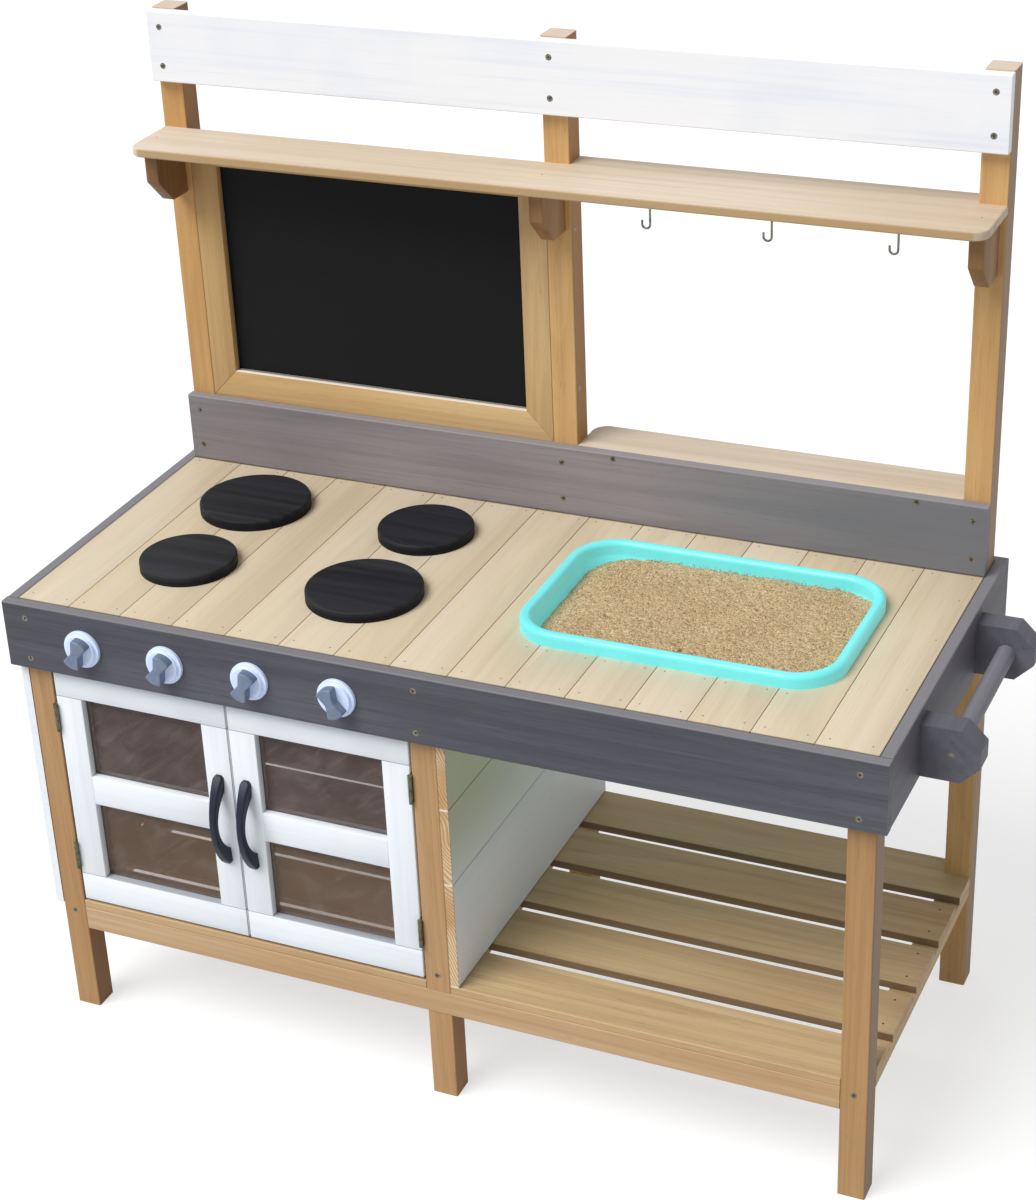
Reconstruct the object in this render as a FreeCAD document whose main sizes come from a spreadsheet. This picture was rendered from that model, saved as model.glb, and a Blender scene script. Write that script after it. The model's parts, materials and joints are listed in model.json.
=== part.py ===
import FreeCAD, Part
import math
import os
import re
import Sketcher

# Outdoor play kitchen: a slatted cabinet on six legs with a boarded worktop, a lift-out
# sand tray, burner discs and turning knobs, two glazed doors, an upper shelf with hooks,
# a writing board, a header board and a towel rail at the right end.
#
# Positions are counted from the left end of the front apron, its front face and the
# floor. The origin of the finished part is the middle of its bounding box on the floor.

SIZES = {
    # Carcass
    "apron_length": 1000,
    "apron_height": 80,
    "board_thickness": 13,
    "board_rounding": 1.5,
    "leg_column_count": 3,
    "carcass_depth": 432,
    "worktop_height": 548,
    "leg_side": 30,
    "leg_rounding": 2,
    "post_height": 1095,
    "lower_rail_bottom": 113,
    "batten_width": 30,
    "batten_thickness": 15,
    "batten_rounding": 1.5,
    "back_apron_rounding": 4,
    # Lower shelf and side planks
    "slat_count": 5,
    "slat_gap": 16,
    "slat_thickness": 10,
    "slat_rounding": 1.5,
    "plank_height": 95,
    "plank_thickness": 10,
    "plank_rounding": 1,
    "plank_seam": 0.4,
    # Worktop
    "worktop_board_count": 15,
    "worktop_seam": 0.4,
    "rear_batten_setback": 22,
    "batten_clearance": 0.3,
    "disc_difference": 20,
    "disc_left_gap": 75.5,
    "disc_front_gap": 67.5,
    "disc_back_gap": 35.5,
    "disc_gap": 36,
    "disc_side_gap": 100,
    "disc_thickness": 12,
    "disc_rounding": 2.5,
    # Tray and its fill
    "tray_left_gap": 31,
    "tray_right_gap": 46,
    "tray_front_gap": 91,
    "tray_back_gap": 63.5,
    "tray_corner": 54,
    "rim_height": 15.5,
    "rim_width": 12,
    "rim_rounding": 5.5,
    "tray_wall": 2.5,
    "bowl_depth": 64,
    "bowl_inset": 16,
    "bowl_edge_radius": 8,
    "cutout_inset": 5.5,
    "fill_drop": 14.5,
    "fill_clearance": 0.3,
    # Backsplash, header, shelf, brackets and ledge
    "backsplash_height": 82,
    "header_height": 80,
    "header_drop": 1,
    "shelf_drop": 147,
    "shelf_thickness": 10,
    "shelf_depth": 84,
    "shelf_corner": 18,
    "shelf_rounding": 2,
    "bracket_thickness": 16,
    "bracket_depth": 61,
    "bracket_height": 65.5,
    "bracket_chamfer": 29,
    "ledge_depth": 60,
    "ledge_thickness": 10,
    "ledge_corner": 18,
    # Writing board
    "frame_width": 32.5,
    "frame_thickness": 18,
    "frame_lift": 1,
    "groove_setback": 10,
    "groove_width": 4,
    "groove_depth": 6,
    "panel_clearance": 0.3,
    # Hooks
    "hook_left_gap": 118,
    "hook_right_gap": 61,
    "hook_setback": 14,
    "hook_wire": 2.4,
    "hook_seat": 8,
    "hook_shank": 21.4,
    "hook_count": 3,
    "hook_radius": 4.4,
    "hook_tip": 4,
    # Knobs
    "knob_left": 99.7,
    "knob_right_gap": 74.2,
    "knob_drop": 41,
    "knob_count": 4,
    "knob_gap": 0.3,
    "dial_diameter": 44,
    "dial_flange": 4,
    "dial_step_diameter": 37,
    "dial_step": 4,
    "dial_rounding": 1.2,
    "grip_length": 35,
    "grip_end_width": 20,
    "grip_end_rise": 3,
    "grip_waist": 10,
    "grip_height": 11,
    "grip_corner": 2,
    "grip_waist_radius": 7,
    "grip_edge": 1.5,
    "grip_angle": 25,
    "pivot_diameter": 4,
    "pivot_running_fit": 0.05,
    "pivot_head_diameter": 8,
    "pivot_head_height": 3,
    "pivot_head_clearance": 0.5,
    # Doors
    "door_bottom_gap": 4,
    "door_top_gap": 1.4,
    "door_middle_gap": 1.6,
    "door_thickness": 18,
    "door_stile_width": 32.5,
    "door_rail_width": 36,
    "middle_rail_width": 36.5,
    "pane_setback": 9.5,
    "pane_thickness": 3.4,
    "pane_clearance": 0.3,
    "pane_groove_depth": 6,
    "door_side_gap": 2.2,
    # Hinges
    "hinge_height": 35,
    "hinge_bottom_inset": 43.5,
    "hinge_top_inset": 46.1,
    "hinge_count": 2,
    "hinge_leaf_width": 16,
    "hinge_leaf_thickness": 0.8,
    "hinge_axis_proud": 2.7,
    "knuckle_diameter": 5,
    "knuckle_count": 3,
    "knuckle_gap": 0.3,
    "pin_diameter": 2.2,
    "pin_running_fit": 0.05,
    # Handles
    "handle_length": 115,
    "handle_reach": 26,
    "handle_bar_width": 8,
    "handle_bar_depth": 7,
    "handle_foot_length": 21,
    "handle_foot_width": 12,
    "handle_foot_edge": 3,
    "handle_tip_rise": 5,
    "handle_tip_cut": 0.6,
    "handle_rounding": 2.2,
    # Towel rail
    "rail_block_length": 62,
    "rail_block_height": 59,
    "rail_block_thickness": 28,
    "rail_block_chamfer": 20,
    "rail_block_drop": 15,
    "rail_block_front": 107.4,
    "rail_block_back_gap": 91.6,
    "rail_block_count": 2,
    "rail_diameter": 20,
    "rail_axis_reach": 32,
    "rail_seat": 12,
    "rail_end_chamfer": 1.5,
    # Screws
    "screw_head_diameter": 7,
    "screw_diameter": 3.5,
    "screw_length": 36,
    "long_screw_length": 55,
    "screw_head_angle": 90,
    "apron_screw_drop": 16.5,
    "apron_screw_distance": 50,
    "backsplash_screw_drop": 18,
    "backsplash_screw_distance": 45,
    "header_screw_drop": 17.7,
    "header_screw_distance": 44,
    "ledge_screw_inset": 47,
    "cleat_screw_rise": 11,
    "frame_screw_setback": 9,
    "frame_screw_share": 4.9,
}

# Sizes and places that follow from the ones above
FOLLOWING = {
    "rail_top": "lower_rail_bottom + batten_width",
    "bay_length": "(apron_length - leg_side) / 2 - board_thickness - leg_side",
    "right_bay_left": "(apron_length + leg_side) / 2",
    "right_bay_right": "apron_length - board_thickness - leg_side",
    "open_depth": "carcass_depth - leg_side - board_thickness",
    "bottom_plank_height": "worktop_height - apron_height - rail_top - 2 * plank_height",
    "side_rail_screw_height": "rail_top - batten_thickness / 2",
    "middle_leg_screw_height": "rail_top + slat_thickness + cleat_screw_rise",
    "disc_depth": "open_depth - disc_front_gap - disc_back_gap - disc_gap",
    "large_disc_diameter": "(disc_depth + disc_difference / 2) / 2",
    "small_disc_diameter": "large_disc_diameter - disc_difference",
    "disc_left": "board_thickness + disc_left_gap + large_disc_diameter / 2",
    "disc_front": "board_thickness + disc_front_gap + large_disc_diameter / 2",
    "disc_row_across": "large_disc_diameter - disc_difference / 2 + disc_side_gap",
    "disc_row_deep": "large_disc_diameter - disc_difference / 2 + disc_gap",
    "tray_left": "right_bay_left + plank_thickness + tray_left_gap",
    "tray_length": "right_bay_right - tray_right_gap - tray_left",
    "tray_front": "board_thickness + tray_front_gap",
    "tray_width": "open_depth - tray_front_gap - tray_back_gap",
    "shelf_height": "post_height - shelf_drop",
    "frame_bottom": "worktop_height + backsplash_height + frame_lift",
    "frame_height": "shelf_height - frame_bottom",
    "frame_screw_low": "frame_bottom + frame_height / frame_screw_share",
    "frame_screw_high": "shelf_height - frame_height / frame_screw_share",
    "hook_left": "right_bay_left + hook_left_gap",
    "hook_step": "(right_bay_right - hook_right_gap - hook_left) / (hook_count - 1)",
    "knob_step": "((apron_length - leg_side) / 2 - knob_right_gap - knob_left) / (knob_count - 1)",
    "door_bottom": "rail_top + slat_thickness + door_bottom_gap",
    "door_height": "worktop_height - apron_height - door_top_gap - door_bottom",
    "door_width": "(bay_length - 2 * door_side_gap - door_middle_gap) / 2",
    "pane_opening": "(door_height - 2 * door_rail_width - middle_rail_width) / 2",
    "handle_bottom": "door_bottom + (door_height - handle_length) / 2",
    "hinge_bottom": "door_bottom + hinge_bottom_inset",
    "hinge_step": "door_height - hinge_bottom_inset - hinge_top_inset - hinge_height",
    "rail_block_bottom": "worktop_height - rail_block_drop - rail_block_height",
    "rail_block_step": "open_depth + leg_side + 2 * board_thickness - rail_block_back_gap"
                       " - rail_block_thickness - rail_block_front",
}

doc = FreeCAD.newDocument("play_kitchen")
sheet = doc.addObject("Spreadsheet::Sheet", "sizes")
for row, (alias, number) in enumerate(SIZES.items(), start=1):
    sheet.set("A%d" % row, alias)
    sheet.set("B%d" % row, str(number))
    sheet.setAlias("B%d" % row, alias)
doc.recompute()

V = FreeCAD.Vector
NODES = []
# Two places count as the same where they differ by less than this
SAME_PLACE = 1e-4
QUARTER_TURN = math.pi / 2

# Positions used by several pieces, written with the names of the sheet
LEFT_LEG = "board_thickness"
MIDDLE_LEG = "(apron_length - leg_side) / 2"
RIGHT_LEG = "(apron_length - board_thickness - leg_side)"
LEG_COLUMNS = (LEFT_LEG, MIDDLE_LEG, RIGHT_LEG)
INNER_LENGTH = "(apron_length - 2 * board_thickness)"
BACK = "(board_thickness + carcass_depth)"
POST_FRONT = "(board_thickness + carcass_depth - leg_side)"
BOARD_FRONT = "(carcass_depth - leg_side)"
APRON_BOTTOM = "(worktop_height - apron_height)"
UNDER_WORKTOP = "(worktop_height - board_thickness)"
RAIL_TOP = "rail_top"
FLOOR_TOP = "(rail_top + slat_thickness)"
DIAL_HEIGHT = "(dial_flange + dial_step)"


def written_out(text):
    """The expression with every size that follows from others replaced by its formula."""

    def formula(match):
        name = match.group()
        return "(%s)" % written_out(FOLLOWING[name]) if name in FOLLOWING else name

    return re.sub(r"[a-z_]+", formula, text)


def cell(text):
    """The expression with every name pointing at its cell of the sheet."""
    return re.sub(r"([a-z_]+)", r"sizes.\1", written_out(text))


def value(text):
    """The number that an expression of named sizes comes to."""
    return float(sheet.evalExpression(written_out(text)))


def plane(body, role):
    return next(part for part in body.Origin.OriginFeatures if part.Role == role)


def new_body(label):
    body = doc.addObject("PartDesign::Body", label)
    body.Label = label
    NODES.append(body)
    return body


def new_sketch(body, role, offset=None):
    """Sketch on one of the body's own planes, or at a distance along its normal."""
    sketch = body.newObject("Sketcher::SketchObject", body.Label + "_sketch")
    sketch.AttachmentSupport = [(plane(body, role), "")]
    sketch.MapMode = "FlatFace"
    if offset is not None:
        sketch.setExpression("AttachmentOffset.Base.z", cell(offset))
    return sketch


def bind(sketch, kind, targets, text):
    """Dimension in a sketch that follows an expression."""
    index = sketch.addConstraint(Sketcher.Constraint(kind, *targets, value(text)))
    sketch.setExpression("Constraints[%d]" % index, cell(text))


def fix_point(sketch, geometry, end, across, up):
    bind(sketch, "DistanceX", (-1, 1, geometry, end), across)
    bind(sketch, "DistanceY", (-1, 1, geometry, end), up)


def outline(sketch, points):
    """Closed polygon through points given as pairs of expressions."""
    corners = [V(value(across), value(up), 0) for across, up in points]
    count = len(points)
    lines = []
    for index in range(count):
        segment = Part.LineSegment(corners[index], corners[(index + 1) % count])
        lines.append(sketch.addGeometry(segment, False))
    for index, line in enumerate(lines):
        following = lines[(index + 1) % count]
        sketch.addConstraint(Sketcher.Constraint("Coincident", line, 2, following, 1))
        fix_point(sketch, line, 1, *points[index])
    return lines


def bulging_arc(start, end, radius, side):
    """Arc between two points that bulges to the left of travel for side 1, to the right for -1."""
    half = (end - start) / 2
    across = V(-half.y, half.x, 0).normalize()
    rise = math.sqrt(radius ** 2 - half.Length ** 2)
    centre = start + half - across * (side * rise)
    first, last = (end, start) if side > 0 else (start, end)
    angles = [math.atan2(point.y - centre.y, point.x - centre.x) for point in (first, last)]
    return Part.ArcOfCircle(Part.Circle(centre, V(0, 0, 1), radius), *angles)


def curved_outline(sketch, corners):
    """Closed outline of arcs and lines.

    Each corner is given as across, up and the bulge of the side that follows: None for a
    line, or the chord, the rise and the side (1 left of travel, -1 right) of an arc."""
    points = [V(value(across), value(up), 0) for across, up, bulge in corners]
    sides = []
    for index, (across, up, bulge) in enumerate(corners):
        start = points[index]
        end = points[(index + 1) % len(points)]
        if bulge is None:
            sides.append((sketch.addGeometry(Part.LineSegment(start, end), False), 1, 2))
            continue
        chord, rise, side = bulge
        radius = "((%s) ^ 2 / 8 + (%s) ^ 2 / 2) / (%s)" % (chord, rise, rise)
        arc = sketch.addGeometry(bulging_arc(start, end, value(radius), side), False)
        sides.append((arc, 2, 1) if side > 0 else (arc, 1, 2))
        bind(sketch, "Radius", (arc,), radius)
    for index, (geometry, start, end) in enumerate(sides):
        following, next_start, next_end = sides[(index + 1) % len(sides)]
        sketch.addConstraint(Sketcher.Constraint("Coincident", geometry, end, following, next_start))
        fix_point(sketch, geometry, start, *corners[index][:2])


def rectangle(sketch, left, low, width, height):
    right = "(%s) + (%s)" % (left, width)
    top = "(%s) + (%s)" % (low, height)
    return outline(sketch, [(left, low), (right, low), (right, top), (left, top)])


def circle(sketch, across, up, diameter):
    centre = V(value(across), value(up), 0)
    ring = sketch.addGeometry(Part.Circle(centre, V(0, 0, 1), value(diameter) / 2), False)
    fix_point(sketch, ring, 3, across, up)
    bind(sketch, "Diameter", (ring,), diameter)


def rounded_rectangle(sketch, length, width, corner):
    """Rectangle about the sketch's origin whose corners are tangent arcs."""
    inset = value(corner)
    half_length = value(length) / 2
    half_width = value(width) / 2
    signs = ((1, -1), (1, 1), (-1, 1), (-1, -1))
    arcs = []
    for turn, (side, end) in enumerate(signs):
        centre = V(side * (half_length - inset), end * (half_width - inset), 0)
        ring = Part.Circle(centre, V(0, 0, 1), inset)
        start = (turn - 1) * QUARTER_TURN
        arc = Part.ArcOfCircle(ring, start, start + QUARTER_TURN)
        arcs.append(sketch.addGeometry(arc, False))
    for index, arc in enumerate(arcs):
        following = arcs[(index + 1) % len(arcs)]
        ends = []
        for geometry, end in ((arc, 2), (following, 1)):
            ends.append(sketch.getPoint(geometry, end))
        line = sketch.addGeometry(Part.LineSegment(*ends), False)
        sketch.addConstraint(Sketcher.Constraint("Tangent", arc, 2, line, 1))
        sketch.addConstraint(Sketcher.Constraint("Tangent", line, 2, following, 1))
    for index, (arc, (side, end)) in enumerate(zip(arcs, signs)):
        fix_point(
            sketch,
            arc,
            3,
            "%d * ((%s) / 2 - (%s))" % (side, length, corner),
            "%d * ((%s) / 2 - (%s))" % (end, width, corner),
        )
    bind(sketch, "Radius", (arcs[0],), corner)


def pad(body, sketch, length, backwards=False, middle=False, taper=None):
    feature = body.newObject("PartDesign::Pad", body.Label + "_pad")
    feature.Profile = sketch
    feature.setExpression("Length", cell(length))
    feature.Reversed = backwards
    if middle:
        feature.SideType = "Symmetric"
    if taper is not None:
        feature.setExpression("TaperAngle", cell(taper))
    doc.recompute()
    return feature


def pocket(body, sketch, depth=None, backwards=False, middle=False):
    """Cut that must take material away; without a depth it goes right through."""
    before = body.Shape.Volume
    feature = body.newObject("PartDesign::Pocket", body.Label + "_pocket")
    feature.Profile = sketch
    feature.Reversed = backwards
    if depth is None:
        feature.Type = "ThroughAll"
    else:
        feature.setExpression("Length", cell(depth))
    if middle:
        feature.SideType = "Symmetric"
    doc.recompute()
    if not body.Shape.Volume < before:
        raise RuntimeError(feature.Label + " cuts nothing")
    return feature


def pick_edges(body, chosen):
    """Names of the edges of the body's shape that a test accepts."""
    shape = body.Tip.Shape
    return ["Edge%d" % (i + 1) for i, edge in enumerate(shape.Edges) if chosen(edge)]


def along(direction):
    """Test for straight edges that run along a direction."""

    def chosen(edge):
        if edge.Curve.TypeId != "Part::GeomLine":
            return False
        return edge.tangentAt(edge.FirstParameter).cross(direction).Length < SAME_PLACE

    return chosen


def at_height(text):
    """Test for edges that lie wholly at one height."""
    level = value(text)

    def chosen(edge):
        box = edge.BoundBox
        return abs(box.ZMin - level) < SAME_PLACE and abs(box.ZMax - level) < SAME_PLACE

    return chosen


def dress_edges(body, kind, chosen, dimension, size):
    """Fillet or chamfer on the edges of the body that a test accepts."""
    base = (body.Tip, pick_edges(body, chosen))
    feature = body.newObject("PartDesign::" + kind, body.Label + "_" + kind.lower())
    feature.Base = base
    feature.setExpression(dimension, cell(size))
    doc.recompute()
    return feature


def round_edges(body, chosen, radius):
    return dress_edges(body, "Fillet", chosen, "Radius", radius)


def bevel_edges(body, chosen, size):
    return dress_edges(body, "Chamfer", chosen, "Size", size)


def repeat(body, originals, sketch, axis, spacing, count):
    """Row of copies along an axis of a sketch; the count is an expression too."""
    feature = body.newObject("PartDesign::LinearPattern", body.Label + "_row")
    feature.Originals = originals
    feature.Direction = (sketch, [axis])
    feature.Mode = "Spacing"
    feature.setExpression("Offset", cell(spacing))
    feature.setExpression("Occurrences", cell(count))
    body.Tip = feature
    doc.recompute()
    return feature


def place(item, across, deep, up, rotation=None):
    """Put a piece at its place and keep that place bound to the sheet."""
    if rotation is not None:
        item.Placement = FreeCAD.Placement(V(0, 0, 0), rotation)
    middle_across = "(apron_length + rail_block_length) / 2"
    reach = "(knob_gap + %s + grip_height)" % DIAL_HEIGHT
    middle_deep = "(%s + ledge_depth - %s) / 2" % (POST_FRONT, reach)
    item.setExpression("Placement.Base.x", cell("(%s) - %s" % (across, middle_across)))
    item.setExpression("Placement.Base.y", cell("(%s) - %s" % (deep, middle_deep)))
    item.setExpression("Placement.Base.z", cell(up))
    doc.recompute()


def stick(label, role, width, height, length, rounding, backwards=False):
    """Straight timber of a rectangular section with its long edges rounded."""
    body = new_body(label)
    sketch = new_sketch(body, role)
    rectangle(sketch, "0", "0", width, height)
    pad(body, sketch, length, backwards)
    directions = {"XY_Plane": V(0, 0, 1), "XZ_Plane": V(0, 1, 0), "YZ_Plane": V(1, 0, 0)}
    round_edges(body, along(directions[role]), rounding)
    return body


def holes(body, role, offset, centres, depth=None, backwards=False):
    """Straight holes for the screws' shanks."""
    sketch = new_sketch(body, role, offset)
    for across, up in centres:
        circle(sketch, across, up, "screw_diameter")
    return pocket(body, sketch, depth, backwards)


def countersunk_holes(body, role, offset, centres, backwards=False):
    """Through holes whose mouths take the screws' heads."""
    sketch = new_sketch(body, role, offset)
    for across, up in centres:
        circle(sketch, across, up, "screw_diameter")
    doc.recompute()
    before = body.Shape.Volume
    feature = body.newObject("PartDesign::Hole", body.Label + "_hole")
    feature.Profile = sketch
    doc.recompute()
    feature.ThreadType = "None"
    feature.DepthType = "ThroughAll"
    feature.Reversed = backwards
    feature.setExpression("Diameter", cell("screw_diameter"))
    feature.HoleCutType = "Countersink"
    feature.HoleCutCustomValues = True
    feature.setExpression("HoleCutDiameter", cell("screw_head_diameter"))
    feature.setExpression("HoleCutCountersinkAngle", cell("screw_head_angle"))
    doc.recompute()
    if not body.Shape.Volume < before:
        raise RuntimeError(feature.Label + " cuts nothing")


def screws(label, role, centres, length, backwards=False):
    """Group of countersunk screws with their heads in the plane of the sketch."""
    body = new_body(label)
    shanks = new_sketch(body, role)
    heads = new_sketch(body, role)
    for across, up in centres:
        circle(shanks, across, up, "screw_diameter")
        circle(heads, across, up, "screw_head_diameter")
    pad(body, shanks, length, backwards)
    head_height = "(screw_head_diameter - screw_diameter) / 2"
    pad(body, heads, head_height, backwards, taper="0 - screw_head_angle / 2")
    return body


# Legs and posts
LEG_MIDDLE = "leg_side / 2"
COLUMN_NAMES = ("left", "middle", "right")
HIGH_APRON_SCREW = "(worktop_height - apron_screw_drop)"
HIGH_SPLASH_SCREW = "(worktop_height + backsplash_height - backsplash_screw_drop)"
HIGH_HEADER_SCREW = "(post_height - header_drop - header_screw_drop)"
APRON_SCREWS = (HIGH_APRON_SCREW, HIGH_APRON_SCREW + " - apron_screw_distance")
SPLASH_SCREWS = (HIGH_SPLASH_SCREW, HIGH_SPLASH_SCREW + " - backsplash_screw_distance")
HEADER_SCREWS = (HIGH_HEADER_SCREW, HIGH_HEADER_SCREW + " - header_screw_distance")
FRAME_SCREWS = (("frame_screw_setback", "frame_screw_low"), ("frame_screw_setback", "frame_screw_high"))
SHANK_IN_LEG = "screw_length - board_thickness"

for name, column in zip(COLUMN_NAMES, LEG_COLUMNS):
    leg = stick("front_%s_leg" % name, "XY_Plane", "leg_side", "leg_side", UNDER_WORKTOP, "leg_rounding")
    holes(leg, "XZ_Plane", None, [(LEG_MIDDLE, row) for row in APRON_SCREWS], SHANK_IN_LEG)
    foot_screw = "middle_leg_screw_height" if name == "middle" else "side_rail_screw_height"
    countersunk_holes(leg, "XZ_Plane", None, [(LEG_MIDDLE, foot_screw)])
    if name == "middle":
        lap = new_sketch(leg, "YZ_Plane")
        rectangle(lap, "0", "lower_rail_bottom", "batten_thickness", "batten_width")
        pocket(leg, lap, backwards=True)
    place(leg, column, "board_thickness", "0")

for name, column in zip(COLUMN_NAMES, LEG_COLUMNS):
    post = stick("back_%s_post" % name, "XY_Plane", "leg_side", "leg_side", "post_height", "leg_rounding")
    rows = SPLASH_SCREWS + HEADER_SCREWS
    holes(post, "XZ_Plane", None, [(LEG_MIDDLE, row) for row in rows], SHANK_IN_LEG)
    if name == "middle":
        lap = new_sketch(post, "YZ_Plane")
        rectangle(lap, "leg_side - batten_thickness", "lower_rail_bottom", "batten_thickness", "batten_width")
        pocket(post, lap, backwards=True)
        countersunk_holes(post, "YZ_Plane", "leg_side", FRAME_SCREWS)
    place(post, column, POST_FRONT, "0")

# Aprons round the top of the carcass
LEG_CENTRES = [column + " + leg_side / 2" for column in LEG_COLUMNS]
KNOB_COLUMNS = ["knob_left + %d * knob_step" % turn for turn in range(SIZES["knob_count"])]

front_apron = stick("front_apron", "YZ_Plane", "board_thickness", "apron_height", "apron_length",
                    "board_rounding")
apron_rows = [row + " - " + APRON_BOTTOM for row in APRON_SCREWS]
apron_centres = [(column, row) for column in LEG_CENTRES for row in apron_rows]
countersunk_holes(front_apron, "XZ_Plane", None, apron_centres)
pivot_holes = new_sketch(front_apron, "XZ_Plane")
for column in KNOB_COLUMNS:
    circle(pivot_holes, column, "apron_height - knob_drop", "pivot_diameter")
pocket(front_apron, pivot_holes)
place(front_apron, "0", "0", APRON_BOTTOM)

back_apron = new_body("back_apron")
back_sketch = new_sketch(back_apron, "YZ_Plane")
rectangle(back_sketch, "0", "0", "board_thickness", "apron_height")
pad(back_apron, back_sketch, "apron_length")
outer_edge = value("board_thickness")
round_edges(back_apron, lambda edge: along(V(1, 0, 0))(edge) and edge.BoundBox.YMin > outer_edge / 2,
            "back_apron_rounding")
place(back_apron, "0", BACK, APRON_BOTTOM)

for name, across in (("left", "0"), ("right", "apron_length - board_thickness")):
    apron = stick(name + "_apron", "XZ_Plane", "board_thickness", "apron_height", "carcass_depth",
                  "board_rounding", True)
    place(apron, across, "board_thickness", APRON_BOTTOM)

# Rails that carry the lower shelf, and the cleat on it behind the middle leg
BETWEEN_LEGS = "(apron_length - 2 * board_thickness - 2 * leg_side)"
CROSS_RAIL = "(carcass_depth - 2 * leg_side)"
RAIL_SCREW_DEPTH = "long_screw_length - leg_side"

for name, deep in (("front", "board_thickness"), ("back", BACK + " - batten_thickness")):
    rail = stick(name + "_lower_rail", "YZ_Plane", "batten_thickness", "batten_width", BETWEEN_LEGS,
                 "batten_rounding")
    place(rail, "board_thickness + leg_side", deep, "lower_rail_bottom")

side_rails = new_body("cross_rails")
side_sketch = new_sketch(side_rails, "XZ_Plane")
rectangle(side_sketch, "0", "0", "batten_width", "batten_thickness")
first_rail = pad(side_rails, side_sketch, CROSS_RAIL, True)
rounded_rail = round_edges(side_rails, along(V(0, 1, 0)), "batten_rounding")
repeat(side_rails, [first_rail, rounded_rail], side_sketch, "H_Axis",
       "(apron_length / 2 - board_thickness - leg_side / 2)", "leg_column_count")
rail_screw = "side_rail_screw_height - %s + batten_thickness" % RAIL_TOP
outer_legs = (LEG_CENTRES[0], LEG_CENTRES[2])
holes(side_rails, "XZ_Plane", None, [(column + " - board_thickness", rail_screw) for column in outer_legs],
      RAIL_SCREW_DEPTH)
place(side_rails, "board_thickness", "board_thickness + leg_side", RAIL_TOP + " - batten_thickness")

cleat = stick("middle_cleat", "XZ_Plane", "batten_width", "batten_thickness", CROSS_RAIL,
              "batten_rounding", True)
holes(cleat, "XZ_Plane", None, [(LEG_MIDDLE, "middle_leg_screw_height - " + FLOOR_TOP)], RAIL_SCREW_DEPTH)
place(cleat, MIDDLE_LEG, "board_thickness + leg_side", FLOOR_TOP)

# Slats of the lower shelf, notched round the legs
slats = new_body("shelf_slats")
slat_sketch = new_sketch(slats, "YZ_Plane")
slat_width = "((carcass_depth - (slat_count - 1) * slat_gap) / slat_count)"
rectangle(slat_sketch, "0", "0", slat_width, "slat_thickness")
first_slat = pad(slats, slat_sketch, INNER_LENGTH)
rounded_slat = round_edges(slats, along(V(1, 0, 0)), "slat_rounding")
repeat(slats, [first_slat, rounded_slat], slat_sketch, "H_Axis", slat_width + " + slat_gap", "slat_count")
notches = new_sketch(slats, "XY_Plane")
for column in LEG_COLUMNS:
    for deep in ("0", BOARD_FRONT):
        rectangle(notches, column + " - board_thickness", deep, "leg_side", "leg_side")
pocket(slats, notches, backwards=True)
place(slats, "board_thickness", "board_thickness", RAIL_TOP)


def planks(label, role, length, backwards=False):
    """Wall of three planks with hairline seams, the lowest plank wider."""
    body = new_body(label)
    sketch = new_sketch(body, role)
    rectangle(sketch, "0", "0", "plank_thickness", "bottom_plank_height - plank_seam")
    rectangle(sketch, "0", "bottom_plank_height", "plank_thickness", "plank_height - plank_seam")
    rectangle(sketch, "0", "bottom_plank_height + plank_height", "plank_thickness", "plank_height")
    pad(body, sketch, length, backwards)
    direction = V(0, 1, 0) if role == "XZ_Plane" else V(1, 0, 0)
    round_edges(body, along(direction), "plank_rounding")
    return body


# Planked walls: left side, middle partition and the back of the cabinet bay
PLANK_INSET = "(board_thickness - plank_thickness)"
left_planks = planks("left_planks", "XZ_Plane", "carcass_depth", True)
place(left_planks, PLANK_INSET, "board_thickness", RAIL_TOP)
middle_planks = planks("middle_planks", "XZ_Plane", "carcass_depth", True)
place(middle_planks, MIDDLE_LEG + " + leg_side", "board_thickness", FLOOR_TOP)
back_planks = planks("back_planks", "YZ_Plane", "(apron_length + leg_side) / 2 - " + PLANK_INSET)
place(back_planks, PLANK_INSET, BACK, RAIL_TOP)

# Worktop boards, notched round the posts and cut out for the tray
worktop = new_body("worktop_boards")
board_sketch = new_sketch(worktop, "XY_Plane")
board_pitch = "((%s + worktop_seam) / worktop_board_count)" % INNER_LENGTH
rectangle(board_sketch, "0", "0", board_pitch + " - worktop_seam", "carcass_depth")
first_board = pad(worktop, board_sketch, "board_thickness")
repeat(worktop, [first_board], board_sketch, "H_Axis", board_pitch, "worktop_board_count")
post_notches = new_sketch(worktop, "XY_Plane")
for column in LEG_COLUMNS:
    rectangle(post_notches, column + " - board_thickness", BOARD_FRONT, "leg_side", "leg_side")
pocket(worktop, post_notches, backwards=True)
TRAY_ACROSS = "(tray_left + tray_length / 2)"
TRAY_DEEP = "(tray_front + tray_width / 2)"
tray_cutout = new_sketch(worktop, "XY_Plane")
tray_cutout.setExpression("AttachmentOffset.Base.x", cell(TRAY_ACROSS + " - board_thickness"))
tray_cutout.setExpression("AttachmentOffset.Base.y", cell(TRAY_DEEP + " - board_thickness"))
rounded_rectangle(tray_cutout, "tray_length - 2 * cutout_inset", "tray_width - 2 * cutout_inset",
                  "tray_corner - cutout_inset")
pocket(worktop, tray_cutout, backwards=True)
place(worktop, "board_thickness", "board_thickness", UNDER_WORKTOP)

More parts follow.
